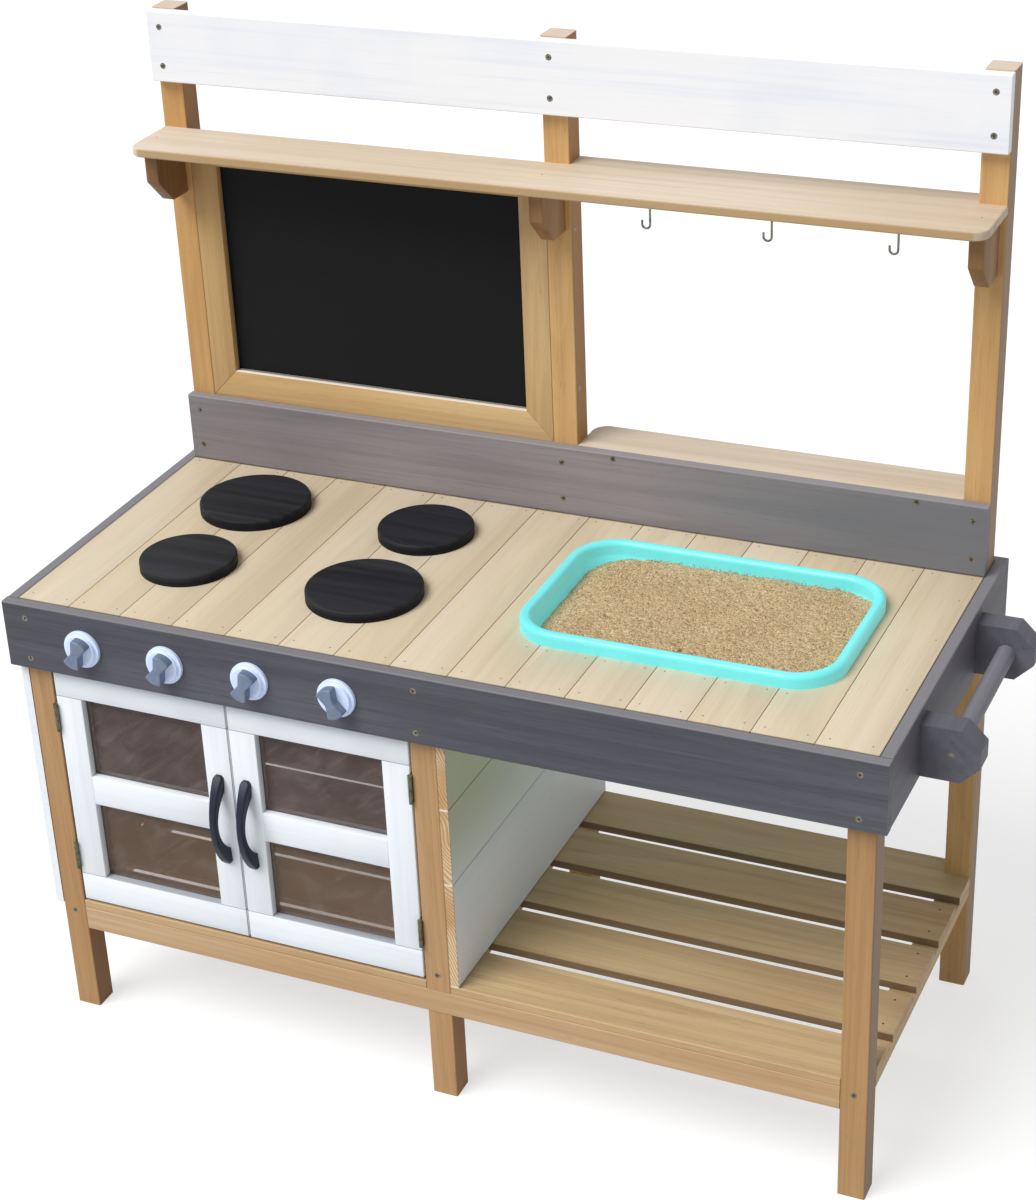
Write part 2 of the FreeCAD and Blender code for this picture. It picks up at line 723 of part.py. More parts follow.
# Battens under the boards: front pair, rear one and two beside the cut-out, then the end one
battens = new_body("worktop_battens")
batten_sketch = new_sketch(battens, "XY_Plane")
PARTITION = MIDDLE_LEG + " + leg_side"
TRAY_BACK = "(tray_front + tray_width - cutout_inset)"
rectangle(batten_sketch, LEFT_LEG + " + leg_side", "board_thickness", "bay_length", "batten_width")
rectangle(batten_sketch, PARTITION, "board_thickness", "bay_length", "batten_width")
rectangle(batten_sketch, LEFT_LEG, POST_FRONT + " - rear_batten_setback - batten_width / 2", INNER_LENGTH,
          "batten_width")
right_bay = "(bay_length + leg_side)"
rectangle(batten_sketch, PARTITION, "tray_front + cutout_inset - batten_width", right_bay, "batten_width")
rectangle(batten_sketch, PARTITION, TRAY_BACK, right_bay, "batten_width")
rectangle(batten_sketch, "apron_length - board_thickness - batten_width",
          "tray_front + cutout_inset + batten_clearance", "batten_width",
          "tray_width - 2 * cutout_inset - 2 * batten_clearance")
pad(battens, batten_sketch, "batten_thickness")
place(battens, "0", "0", UNDER_WORKTOP + " - batten_thickness")

# Burner discs, the large and the small ones on opposite diagonals
discs = new_body("burner_discs")
disc_sketch = new_sketch(discs, "XY_Plane")
for turn, rise, diameter in ((0, 0, "small"), (1, 0, "large"), (0, 1, "large"), (1, 1, "small")):
    circle(disc_sketch, "%d * disc_row_across" % turn, "%d * disc_row_deep" % rise,
           diameter + "_disc_diameter")
pad(discs, disc_sketch, "disc_thickness")
round_edges(discs, at_height("disc_thickness"), "disc_rounding")
place(discs, "disc_left", "disc_front", "worktop_height")


def rounded_section(body, height, inset):
    """Sketch of the tray's outline at a height, drawn in by an inset on every side."""
    sketch = new_sketch(body, "XY_Plane", height)
    rounded_rectangle(sketch, "tray_length - 2 * (%s)" % inset, "tray_width - 2 * (%s)" % inset,
                      "tray_corner - (%s)" % inset)
    return sketch


def loft(body, kind, sections):
    """Ruled solid or cut through sections from the first to the last."""
    feature = body.newObject("PartDesign::" + kind, body.Label + "_loft")
    feature.Profile = sections[0]
    feature.Sections = sections[1:]
    feature.Ruled = True
    body.Tip = feature
    doc.recompute()
    return feature


# Tray: skirt that stands on the boards, rolled rim and a tapering bowl in the cut-out
tray = new_body("tray")
BOWL_FLOOR = "tray_wall - bowl_depth"
BOWL_OUTSIDE = "rim_width - tray_wall"
pad(tray, rounded_section(tray, "0", "0"), "rim_height")
round_edges(tray, at_height("rim_height"), "rim_rounding")
under_rim = rounded_section(tray, "0", "tray_wall")
rounded_rectangle(under_rim, "tray_length - 2 * (%s)" % BOWL_OUTSIDE, "tray_width - 2 * (%s)" % BOWL_OUTSIDE,
                  "tray_corner - (%s)" % BOWL_OUTSIDE)
pocket(tray, under_rim, "rim_height - tray_wall", backwards=True)
loft(tray, "AdditiveLoft", [
    rounded_section(tray, "0", BOWL_OUTSIDE),
    rounded_section(tray, "0 - bowl_depth", BOWL_OUTSIDE + " + bowl_inset"),
])
round_edges(tray, at_height("0 - bowl_depth"), "bowl_edge_radius")
pocket(tray, rounded_section(tray, "rim_height", "rim_width"), "rim_height")
loft(tray, "SubtractiveLoft", [
    rounded_section(tray, "0", "rim_width"),
    rounded_section(tray, BOWL_FLOOR, "rim_width + bowl_inset"),
])
round_edges(tray, at_height(BOWL_FLOOR), "bowl_edge_radius - tray_wall")
inner_length = value("tray_length / 2 - rim_width") + SAME_PLACE
inner_width = value("tray_width / 2 - rim_width") + SAME_PLACE


def on_inner_rim(edge):
    box = edge.BoundBox
    inside = max(-box.XMin, box.XMax) < inner_length and max(-box.YMin, box.YMax) < inner_width
    return inside and at_height("rim_height")(edge)


round_edges(tray, on_inner_rim, "rim_rounding")
place(tray, TRAY_ACROSS, TRAY_DEEP, "worktop_height")

# Fill of coarse sand, up to a little below the rim
fill = new_body("sand_fill")
loft(fill, "AdditiveLoft", [
    rounded_section(fill, "0", "rim_width + fill_clearance"),
    rounded_section(fill, BOWL_FLOOR, "rim_width + bowl_inset + fill_clearance"),
])
round_edges(fill, at_height(BOWL_FLOOR), "bowl_edge_radius")
pad(fill, rounded_section(fill, "0", "rim_width + fill_clearance"), "rim_height - fill_drop")
place(fill, TRAY_ACROSS, TRAY_DEEP, "worktop_height")

# Backsplash and header board across the fronts of the posts
LEDGE_SCREWS = [(PARTITION + " + ledge_screw_inset", "backsplash_height - ledge_thickness / 2"),
                (RIGHT_LEG + " - ledge_screw_inset", "backsplash_height - ledge_thickness / 2")]
splash_centres = [(column + " - board_thickness", row + " - worktop_height")
                  for column in LEG_CENTRES for row in SPLASH_SCREWS]
splash_centres += [(column + " - board_thickness", row) for column, row in LEDGE_SCREWS]
HEADER_BOTTOM = "(post_height - header_drop - header_height)"
header_centres = [(column + " - board_thickness", row + " - " + HEADER_BOTTOM)
                  for column in LEG_CENTRES for row in HEADER_SCREWS]

backsplash = stick("backsplash", "YZ_Plane", "board_thickness", "backsplash_height", INNER_LENGTH,
                   "board_rounding")
countersunk_holes(backsplash, "XZ_Plane", None, splash_centres)
place(backsplash, "board_thickness", POST_FRONT + " - board_thickness", "worktop_height")

header = stick("header_board", "YZ_Plane", "board_thickness", "header_height", INNER_LENGTH,
               "board_rounding")
countersunk_holes(header, "XZ_Plane", None, header_centres)
place(header, "board_thickness", POST_FRONT + " - board_thickness", HEADER_BOTTOM)

# Upper shelf, deeper at the back between the middle and the right post
shelf = new_body("upper_shelf")
shelf_sketch = new_sketch(shelf, "XY_Plane")
tongue_left = MIDDLE_LEG + " + leg_side - board_thickness"
tongue_right = "apron_length - 2 * board_thickness - leg_side"
shelf_back = "shelf_depth + leg_side"
outline(shelf_sketch, [
    ("0", "0"),
    (INNER_LENGTH, "0"),
    (INNER_LENGTH, "shelf_depth"),
    (tongue_right, "shelf_depth"),
    (tongue_right, shelf_back),
    (tongue_left, shelf_back),
    (tongue_left, "shelf_depth"),
    ("0", "shelf_depth"),
])
pad(shelf, shelf_sketch, "shelf_thickness")
front_limit = value("shelf_depth") / 2
round_edges(shelf, lambda edge: along(V(0, 0, 1))(edge) and edge.BoundBox.YMax < front_limit, "shelf_corner")
round_edges(
    shelf,
    lambda edge: edge.BoundBox.YMin < front_limit and not along(V(0, 0, 1))(edge)
    and edge.BoundBox.ZLength < SAME_PLACE,
    "shelf_rounding",
)
hook_seats = new_sketch(shelf, "XY_Plane")
for turn in range(SIZES["hook_count"]):
    circle(hook_seats, "hook_left - board_thickness + %d * hook_step" % turn, "hook_setback", "hook_wire")
pocket(shelf, hook_seats, "hook_seat", backwards=True)
place(shelf, "board_thickness", POST_FRONT + " - shelf_depth", "shelf_height")

# Brackets under the shelf, one in front of each post
brackets = new_body("shelf_brackets")
bracket_sketch = new_sketch(brackets, "YZ_Plane")
outline(bracket_sketch, [
    ("bracket_chamfer", "0"),
    ("bracket_depth", "0"),
    ("bracket_depth", "bracket_height"),
    ("0", "bracket_height"),
    ("0", "bracket_chamfer"),
])
first_bracket = pad(brackets, bracket_sketch, "bracket_thickness")
bracket_columns = new_sketch(brackets, "XZ_Plane")
repeat(brackets, [first_bracket], bracket_columns, "H_Axis",
       "(apron_length / 2 - board_thickness - leg_side / 2)", "leg_column_count")
place(brackets, "board_thickness + (leg_side - bracket_thickness) / 2", POST_FRONT + " - bracket_depth",
      "shelf_height - bracket_height")

# Ledge behind the backsplash, between the middle and the right post
ledge = new_body("rear_ledge")
ledge_sketch = new_sketch(ledge, "XY_Plane")
rectangle(ledge_sketch, "0", "0", "bay_length", "ledge_depth")
pad(ledge, ledge_sketch, "ledge_thickness")
back_limit = value("ledge_depth") / 2
round_edges(ledge, lambda edge: along(V(0, 0, 1))(edge) and edge.BoundBox.YMin > back_limit, "ledge_corner")
LEDGE_SCREW_ROW = "ledge_thickness / 2"
holes(ledge, "XZ_Plane", None, [("ledge_screw_inset", LEDGE_SCREW_ROW),
                                ("bay_length - ledge_screw_inset", LEDGE_SCREW_ROW)], SHANK_IN_LEG)
place(ledge, PARTITION, POST_FRONT, "worktop_height + backsplash_height - ledge_thickness")

# Writing board between the left and the middle post, its frame mitred and grooved
FRAME_RIGHT = "bay_length - frame_width"

board_stiles = new_body("writing_board_stiles")
stile_sketch = new_sketch(board_stiles, "XZ_Plane")
outline(stile_sketch, [("0", "0"), ("frame_width", "frame_width"),
                       ("frame_width", "frame_height - frame_width"), ("0", "frame_height")])
outline(stile_sketch, [("bay_length", "0"), ("bay_length", "frame_height"),
                       (FRAME_RIGHT, "frame_height - frame_width"), (FRAME_RIGHT, "frame_width")])
pad(board_stiles, stile_sketch, "frame_thickness", True)
stile_grooves = new_sketch(board_stiles, "XY_Plane")
rectangle(stile_grooves, "frame_width - groove_depth", "groove_setback", "groove_depth", "groove_width")
rectangle(stile_grooves, FRAME_RIGHT, "groove_setback", "groove_depth", "groove_width")
pocket(board_stiles, stile_grooves, backwards=True)
frame_screw_rows = ["%s - frame_bottom" % row for _, row in FRAME_SCREWS]
holes(board_stiles, "YZ_Plane", "bay_length", [("frame_screw_setback", row) for row in frame_screw_rows],
      "long_screw_length - leg_side")
place(board_stiles, LEFT_LEG + " + leg_side", POST_FRONT, "frame_bottom")

board_rails = new_body("writing_board_rails")
rail_sketch = new_sketch(board_rails, "XZ_Plane")
outline(rail_sketch, [("0", "0"), ("bay_length", "0"), (FRAME_RIGHT, "frame_width"),
                      ("frame_width", "frame_width")])
outline(rail_sketch, [("0", "frame_height"), ("frame_width", "frame_height - frame_width"),
                      (FRAME_RIGHT, "frame_height - frame_width"), ("bay_length", "frame_height")])
pad(board_rails, rail_sketch, "frame_thickness", True)
rail_grooves = new_sketch(board_rails, "YZ_Plane")
rectangle(rail_grooves, "groove_setback", "frame_width - groove_depth", "groove_width", "groove_depth")
rectangle(rail_grooves, "groove_setback", "frame_height - frame_width", "groove_width", "groove_depth")
pocket(board_rails, rail_grooves, backwards=True)
place(board_rails, LEFT_LEG + " + leg_side", POST_FRONT, "frame_bottom")

panel = new_body("writing_board_panel")
panel_sketch = new_sketch(panel, "XZ_Plane")
panel_inset = "(frame_width - groove_depth + panel_clearance)"
rectangle(panel_sketch, panel_inset, panel_inset, "bay_length - 2 * %s" % panel_inset,
          "frame_height - 2 * %s" % panel_inset)
pad(panel, panel_sketch, "groove_width - 2 * panel_clearance", True)
place(panel, LEFT_LEG + " + leg_side", POST_FRONT + " + groove_setback + panel_clearance",
      "frame_bottom")


def sweep(body, profile, path):
    """Bar of a constant section along a path that starts square to the section."""
    feature = body.newObject("PartDesign::AdditivePipe", body.Label + "_pipe")
    feature.Profile = profile
    feature.Spine = path
    body.Tip = feature
    doc.recompute()
    return feature


# Screw hooks in the underside of the shelf, bent to the left
hooks = new_body("shelf_hooks")
hook_section = new_sketch(hooks, "XY_Plane")
circle(hook_section, "0", "0", "hook_wire")
hook_path = new_sketch(hooks, "XZ_Plane")
straight = value("hook_seat + hook_shank")
bend = value("hook_radius")
shank = hook_path.addGeometry(Part.LineSegment(V(0, 0, 0), V(0, -straight, 0)), False)
crook_ring = Part.Circle(V(-bend, -straight, 0), V(0, 0, 1), bend)
crook = hook_path.addGeometry(Part.ArcOfCircle(crook_ring, 2 * QUARTER_TURN, 4 * QUARTER_TURN), False)
tip_start = V(-2 * bend, -straight, 0)
tip = hook_path.addGeometry(Part.LineSegment(tip_start, tip_start + V(0, value("hook_tip"), 0)), False)
fix_point(hook_path, shank, 1, "0", "0")
fix_point(hook_path, shank, 2, "0", "0 - hook_seat - hook_shank")
hook_path.addConstraint(Sketcher.Constraint("Tangent", shank, 2, crook, 2))
hook_path.addConstraint(Sketcher.Constraint("Tangent", crook, 1, tip, 1))
bind(hook_path, "Radius", (crook,), "hook_radius")
fix_point(hook_path, tip, 2, "0 - 2 * hook_radius", "hook_tip - hook_seat - hook_shank")
hook = sweep(hooks, hook_section, hook_path)
repeat(hooks, [hook], hook_path, "H_Axis", "hook_step", "hook_count")
place(hooks, "hook_left", POST_FRONT + " - shelf_depth + hook_setback", "shelf_height + hook_seat")


def turned(body, points):
    """Solid of revolution about the depth axis; points are radius and depth."""
    sketch = new_sketch(body, "XY_Plane")
    outline(sketch, points)
    feature = body.newObject("PartDesign::Revolution", body.Label + "_revolution")
    feature.Profile = sketch
    feature.ReferenceAxis = (sketch, ["V_Axis"])
    feature.Angle = 360
    body.Tip = feature
    doc.recompute()
    return feature, sketch


def ring_edge(radius, depth):
    """Test for the full circle of a radius at a depth."""
    size = value(radius)
    level = value(depth)

    def chosen(edge):
        box = edge.BoundBox
        gaps = (box.YMin - level, box.YMax - level, box.XMax - size)
        return max(abs(gap) for gap in gaps) < SAME_PLACE

    return chosen


# Knobs: pivot bolts in the apron, dials turning on them and the grips on the dials
HEAD_SEAT = "(%s - pivot_head_height - 2 * pivot_head_clearance)" % DIAL_HEIGHT
HEAD_UNDER = "0 - %s - pivot_head_clearance" % HEAD_SEAT
pivots = new_body("knob_pivots")
pivot, pivot_sketch = turned(pivots, [
    ("0", "knob_gap + board_thickness"),
    ("0", HEAD_UNDER + " - pivot_head_height"),
    ("pivot_head_diameter / 2", HEAD_UNDER + " - pivot_head_height"),
    ("pivot_head_diameter / 2", HEAD_UNDER),
    ("pivot_diameter / 2", HEAD_UNDER),
    ("pivot_diameter / 2", "knob_gap + board_thickness"),
])
repeat(pivots, [pivot], pivot_sketch, "H_Axis", "knob_step", "knob_count")
place(pivots, "knob_left", "0 - knob_gap", "worktop_height - knob_drop")

for turn, column in enumerate(KNOB_COLUMNS, start=1):
    dial = new_body("knob_%d_dial" % turn)
    bore = "pivot_diameter / 2 + pivot_running_fit"
    recess = "pivot_head_diameter / 2 + pivot_head_clearance"
    turned(dial, [
        (bore, "0"),
        (bore, "0 - " + HEAD_SEAT),
        (recess, "0 - " + HEAD_SEAT),
        (recess, "0 - " + DIAL_HEIGHT),
        ("dial_step_diameter / 2", "0 - " + DIAL_HEIGHT),
        ("dial_step_diameter / 2", "0 - dial_flange"),
        ("dial_diameter / 2", "0 - dial_flange"),
        ("dial_diameter / 2", "0"),
    ])
    round_edges(dial, ring_edge("dial_diameter / 2", "0 - dial_flange"), "dial_rounding")
    round_edges(dial, ring_edge("dial_step_diameter / 2", "0 - " + DIAL_HEIGHT), "dial_rounding")
    place(dial, column, "0 - knob_gap", "worktop_height - knob_drop")

    grip = new_body("knob_%d_grip" % turn)
    grip_sketch = new_sketch(grip, "XZ_Plane")
    end = ("grip_end_width", "grip_end_rise", -1)
    curved_outline(grip_sketch, [
        ("0 - grip_end_width / 2", "grip_end_rise - grip_length / 2", end),
        ("grip_end_width / 2", "grip_end_rise - grip_length / 2", None),
        ("grip_waist / 2", "0", None),
        ("grip_end_width / 2", "grip_length / 2 - grip_end_rise", end),
        ("0 - grip_end_width / 2", "grip_length / 2 - grip_end_rise", None),
        ("0 - grip_waist / 2", "0", None),
    ])
    pad(grip, grip_sketch, "grip_height")
    waist_limit = value("grip_length") / 4
    upright = along(V(0, 1, 0))
    round_edges(grip, lambda edge: upright(edge) and abs(edge.BoundBox.ZMax) < waist_limit,
                "grip_waist_radius")
    round_edges(grip, lambda edge: upright(edge) and abs(edge.BoundBox.ZMax) > waist_limit, "grip_corner")
    front_level = 0 - value("grip_height")
    round_edges(grip, lambda edge: edge.BoundBox.YMax < front_level + SAME_PLACE, "grip_edge")
    lean = value("grip_angle") if turn < SIZES["knob_count"] else 0 - value("grip_angle")
    place(grip, column, "0 - knob_gap - " + DIAL_HEIGHT, "worktop_height - knob_drop",
          FreeCAD.Rotation(V(0, 1, 0), lean))

# Doors
PANE_GROOVE = "(pane_thickness + 2 * pane_clearance)"
UPPER_RAIL = "(door_height - door_rail_width)"
MIDDLE_LOW = "(door_rail_width + pane_opening)"
MIDDLE_HIGH = "(door_rail_width + pane_opening + middle_rail_width)"
STILE_LENGTH = "(door_height - 2 * door_rail_width)"
RIGHT_STILE = "(door_width - door_stile_width)"
DOOR_OPENING = "(door_width - 2 * door_stile_width)"
LEAF_AXIS = "(door_side_gap / 2)"
LEFT_DOOR = "(board_thickness + leg_side + door_side_gap)"
RIGHT_DOOR = "(%s - door_side_gap - door_width)" % MIDDLE_LEG


def stile_section(sketch, edge, inner, side):
    """Section of a stile with the pane's groove on its inner side."""
    groove = "%s - %d * pane_groove_depth" % (inner, side)
    corners = [
        (edge, "0"),
        (inner, "0"),
        (inner, "pane_setback"),
        (groove, "pane_setback"),
        (groove, "pane_setback + " + PANE_GROOVE),
        (inner, "pane_setback + " + PANE_GROOVE),
        (inner, "door_thickness"),
        (edge, "door_thickness"),
    ]
    outline(sketch, corners)


def door(name, left):
    """Stiles, rails and panes of a door whose left edge is given."""
    stiles = new_body(name + "_door_stiles")
    section = new_sketch(stiles, "XY_Plane", "door_rail_width")
    stile_section(section, "0", "door_stile_width", 1)
    stile_section(section, "door_width", RIGHT_STILE, -1)
    pad(stiles, section, STILE_LENGTH)
    place(stiles, left, "board_thickness", "door_bottom")

    rails = new_body(name + "_door_rails")
    faces = new_sketch(rails, "XZ_Plane")
    rectangle(faces, "0", "0", "door_width", "door_rail_width")
    rectangle(faces, "0", UPPER_RAIL, "door_width", "door_rail_width")
    rectangle(faces, "door_stile_width", MIDDLE_LOW, DOOR_OPENING, "middle_rail_width")
    pad(rails, faces, "door_thickness", True)
    groove_length = DOOR_OPENING + " + 2 * pane_groove_depth"
    grooves = (("door_rail_width", False), (MIDDLE_LOW, True), (MIDDLE_HIGH, False), (UPPER_RAIL, True))
    for level, upwards in grooves:
        groove = new_sketch(rails, "XY_Plane", level)
        rectangle(groove, "door_stile_width - pane_groove_depth", "pane_setback", groove_length, PANE_GROOVE)
        pocket(rails, groove, "pane_groove_depth", upwards)
    place(rails, left, "board_thickness", "door_bottom")

    panes = new_body(name + "_door_panes")
    glazing = new_sketch(panes, "XZ_Plane")
    reach = "(pane_groove_depth - pane_clearance)"
    pane_left = "door_stile_width - " + reach
    pane_width = "%s + 2 * %s" % (DOOR_OPENING, reach)
    for low, high in (("door_rail_width", MIDDLE_LOW), (MIDDLE_HIGH, UPPER_RAIL)):
        rectangle(glazing, pane_left, "%s - %s" % (low, reach), pane_width,
                  "%s - %s + 2 * %s" % (high, low, reach))
    pad(panes, glazing, "pane_thickness", True)
    place(panes, left, "board_thickness + pane_setback + pane_clearance", "door_bottom")


def handle(name, across):
    """Bow handle whose bar runs out into flat feet, its middle at a place across the door."""
    body = new_body(name + "_door_handle")
    inner_reach = "(handle_reach - handle_bar_depth)"
    inner_chord = "(handle_length - 2 * handle_foot_length)"
    bow = new_sketch(body, "YZ_Plane")
    curved_outline(bow, [
        ("0", "handle_length", None),
        ("0 - handle_foot_edge", "handle_length", ("handle_length", "handle_reach - handle_foot_edge", -1)),
        ("0 - handle_foot_edge", "0", None),
        ("0", "0", None),
        ("0", "handle_foot_length", (inner_chord, inner_reach, 1)),
        ("0", "handle_length - handle_foot_length", None),
    ])
    pad(body, bow, "handle_foot_width", middle=True)
    low = "(handle_tip_rise - handle_tip_cut)"
    high = "(handle_length - %s)" % low
    waist = ("(%s - %s)" % (high, low), "(handle_foot_width - handle_bar_width) / 2", 1)
    tip = ("handle_foot_width", "handle_tip_rise", -1)
    face = new_sketch(body, "XZ_Plane")
    curved_outline(face, [
        ("0 - handle_foot_width / 2", low, tip),
        ("handle_foot_width / 2", low, waist),
        ("handle_foot_width / 2", high, tip),
        ("0 - handle_foot_width / 2", high, waist),
    ])
    rectangle(face, "0 - handle_foot_width", "0 - handle_foot_width", "2 * handle_foot_width",
              "handle_length + 2 * handle_foot_width")
    pocket(body, face, "2 * handle_reach", middle=True)
    foot_front = SAME_PLACE - value("handle_foot_edge")
    round_edges(body, lambda edge: edge.BoundBox.YMax < foot_front, "handle_rounding")
    place(body, across, "board_thickness", "handle_bottom")


def knuckle_levels():
    """Lower ends of the knuckles of a hinge."""
    step = "((hinge_height + knuckle_gap) / knuckle_count)"
    return ["%d * %s" % (turn, step) for turn in range(SIZES["knuckle_count"])]


KNUCKLE = "((hinge_height + knuckle_gap) / knuckle_count - knuckle_gap)"
LEAF_GAP = "(%s - hinge_leaf_thickness)" % LEAF_AXIS


def leaf(label, plate_left, own, other, pinned):
    """Hinge leaf about the hinge's axis, with the knuckles whose turns it owns."""
    body = new_body(label)
    levels = knuckle_levels()
    plate = new_sketch(body, "XY_Plane")
    rectangle(plate, plate_left, "0", "hinge_leaf_thickness", "hinge_leaf_width")
    features = [pad(body, plate, "hinge_height")]
    for turn in other:
        relief = new_sketch(body, "XY_Plane", levels[turn] + " - knuckle_gap")
        circle(relief, "0", "0", "knuckle_diameter + 2 * knuckle_gap")
        features.append(pocket(body, relief, KNUCKLE + " + 2 * knuckle_gap", backwards=True))
    for turn in own:
        knuckle = new_sketch(body, "XY_Plane", levels[turn])
        circle(knuckle, "0", "0", "knuckle_diameter")
        features.append(pad(body, knuckle, KNUCKLE))
    core = new_sketch(body, "XY_Plane")
    if pinned:
        circle(core, "0", "0", "pin_diameter")
        features.append(pad(body, core, "hinge_height"))
    else:
        circle(core, "0", "0", "pin_diameter + 2 * pin_running_fit")
        features.append(pocket(body, core, backwards=True))
    rows = new_sketch(body, "XZ_Plane")
    repeat(body, features, rows, "V_Axis", "hinge_step", "hinge_count")
    return body


def hinges(name, axis_across, rotation, lift):
    """Pair of hinges of a door: leaves with pins on the leg, plain leaves on the door."""
    fixed = leaf(name + "_hinge_leg_leaves", "0 - " + LEAF_AXIS, (1,), (0, 2), True)
    moving = leaf(name + "_hinge_door_leaves", LEAF_GAP, (0, 2), (1,), False)
    for body in (fixed, moving):
        place(body, axis_across, "board_thickness - hinge_axis_proud", lift, rotation)


door("left", LEFT_DOOR)
door("right", RIGHT_DOOR)
handle("left", LEFT_DOOR + " + door_width - door_stile_width / 2")
handle("right", RIGHT_DOOR + " + door_stile_width / 2")
hinges("left", LEFT_DOOR + " - " + LEAF_AXIS, FreeCAD.Rotation(), "hinge_bottom")
hinges("right", RIGHT_DOOR + " + door_width + " + LEAF_AXIS, FreeCAD.Rotation(V(0, 1, 0), 180),
       "hinge_bottom + hinge_step + hinge_height")

# Towel rail on two blocks at the right end
blocks = new_body("rail_blocks")
block_sketch = new_sketch(blocks, "XZ_Plane")
outline(block_sketch, [
    ("0", "0"),
    ("rail_block_length - rail_block_chamfer", "0"),
    ("rail_block_length", "rail_block_chamfer"),
    ("rail_block_length", "rail_block_height - rail_block_chamfer"),
    ("rail_block_length - rail_block_chamfer", "rail_block_height"),
    ("0", "rail_block_height"),
])
first_block = pad(blocks, block_sketch, "rail_block_thickness", True)
block_rows = new_sketch(blocks, "XY_Plane")
repeat(blocks, [first_block], block_rows, "V_Axis", "rail_block_step", "rail_block_count")
SEAT_START = "(rail_block_thickness - rail_seat)"
RAIL_LENGTH = "(rail_block_step - rail_block_thickness + 2 * rail_seat)"
seats = new_sketch(blocks, "XZ_Plane", "0 - " + SEAT_START)
circle(seats, "rail_axis_reach", "rail_block_height / 2", "rail_diameter")
pocket(blocks, seats, RAIL_LENGTH)
countersunk_holes(blocks, "XZ_Plane", None, [("rail_axis_reach", "rail_block_height / 2")])
place(blocks, "apron_length", "rail_block_front", "rail_block_bottom")

rail = new_body("towel_rail")
rail_section = new_sketch(rail, "XZ_Plane")
circle(rail_section, "0", "0", "rail_diameter")
pad(rail, rail_section, RAIL_LENGTH, True)
bevel_edges(rail, lambda edge: edge.BoundBox.YLength < SAME_PLACE, "rail_end_chamfer")
holes(rail, "XZ_Plane", None, [("0", "0")], "screw_length - " + SEAT_START)
place(rail, "apron_length + rail_axis_reach", "rail_block_front + " + SEAT_START,
      "rail_block_bottom + rail_block_height / 2")

# Countersunk screws, grouped by the face that they are driven into
apron_screws = screws("apron_screws", "XZ_Plane", apron_centres, "screw_length", True)
place(apron_screws, "0", "0", APRON_BOTTOM)
upper_centres = splash_centres + [(column, "%s + %s - worktop_height" % (row, HEADER_BOTTOM))
                                  for column, row in header_centres]
upper_screws = screws("upper_board_screws", "XZ_Plane", upper_centres, "screw_length", True)
place(upper_screws, "board_thickness", POST_FRONT + " - board_thickness", "worktop_height")
leg_rows = ("side_rail_screw_height", "middle_leg_screw_height", "side_rail_screw_height")
leg_screws = screws("leg_screws", "XZ_Plane", list(zip(LEG_CENTRES, leg_rows)), "long_screw_length", True)
place(leg_screws, "0", "board_thickness", "0")
frame_screws = screws("frame_screws", "YZ_Plane", FRAME_SCREWS, "long_screw_length", True)
place(frame_screws, PARTITION, POST_FRONT, "0")
block_screw = screws("block_screw", "XZ_Plane", [("0", "0")], "screw_length", True)
place(block_screw, "apron_length + rail_axis_reach", "rail_block_front",
      "rail_block_bottom + rail_block_height / 2")

# Check every object, then write one file for each piece
doc.recompute()
failed = [item.Label for item in doc.Objects if "Invalid" in item.State or "Error" in item.State]
for body in NODES:
    if body.Shape.isNull() or not body.Shape.isValid() or not body.Shape.Solids:
        failed.append(body.Label)
if failed:
    raise RuntimeError("failed pieces: " + ", ".join(failed))
os.makedirs("parts", exist_ok=True)
for body in NODES:
    body.Shape.exportStep(os.path.join("parts", body.Label + ".step"))
print("%d pieces written" % len(NODES))
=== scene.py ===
import bmesh
import bpy
import json
import math
import random
from mathutils import Matrix, Vector, noise

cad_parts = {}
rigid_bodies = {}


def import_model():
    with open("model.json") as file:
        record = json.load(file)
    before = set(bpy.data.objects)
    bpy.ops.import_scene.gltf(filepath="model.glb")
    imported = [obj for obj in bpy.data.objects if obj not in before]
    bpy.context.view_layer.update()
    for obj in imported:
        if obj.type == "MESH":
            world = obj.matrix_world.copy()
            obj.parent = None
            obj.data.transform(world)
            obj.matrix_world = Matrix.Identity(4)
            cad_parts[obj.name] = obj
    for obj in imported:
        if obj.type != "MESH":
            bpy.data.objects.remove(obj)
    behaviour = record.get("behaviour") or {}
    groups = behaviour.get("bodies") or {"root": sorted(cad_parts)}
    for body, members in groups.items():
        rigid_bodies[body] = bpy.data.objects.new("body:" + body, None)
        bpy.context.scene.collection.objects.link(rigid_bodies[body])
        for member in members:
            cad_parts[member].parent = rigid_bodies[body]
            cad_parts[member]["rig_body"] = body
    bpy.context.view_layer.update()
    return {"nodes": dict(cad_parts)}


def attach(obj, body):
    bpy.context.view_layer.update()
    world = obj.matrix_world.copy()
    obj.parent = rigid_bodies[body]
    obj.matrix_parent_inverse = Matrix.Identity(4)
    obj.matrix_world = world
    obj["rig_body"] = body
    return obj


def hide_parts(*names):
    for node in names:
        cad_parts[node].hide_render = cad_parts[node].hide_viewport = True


# Outdoor play kitchen: oiled and stained softwood, painted boards, clear panes, plastic
# knobs and tray, coarse sand. Meshes are in metres. The measures below and the points that
# at() takes are in millimetres.

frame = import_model()
nodes = frame["nodes"]

MM = 0.001


def at(across, deep, up):
    """Point given in millimetres from the apron's left end, its front face and the floor."""
    return Vector((across * MM - 0.531, deep * MM - 0.22785, up * MM))


# ---------------------------------------------------------------- measures in millimetres

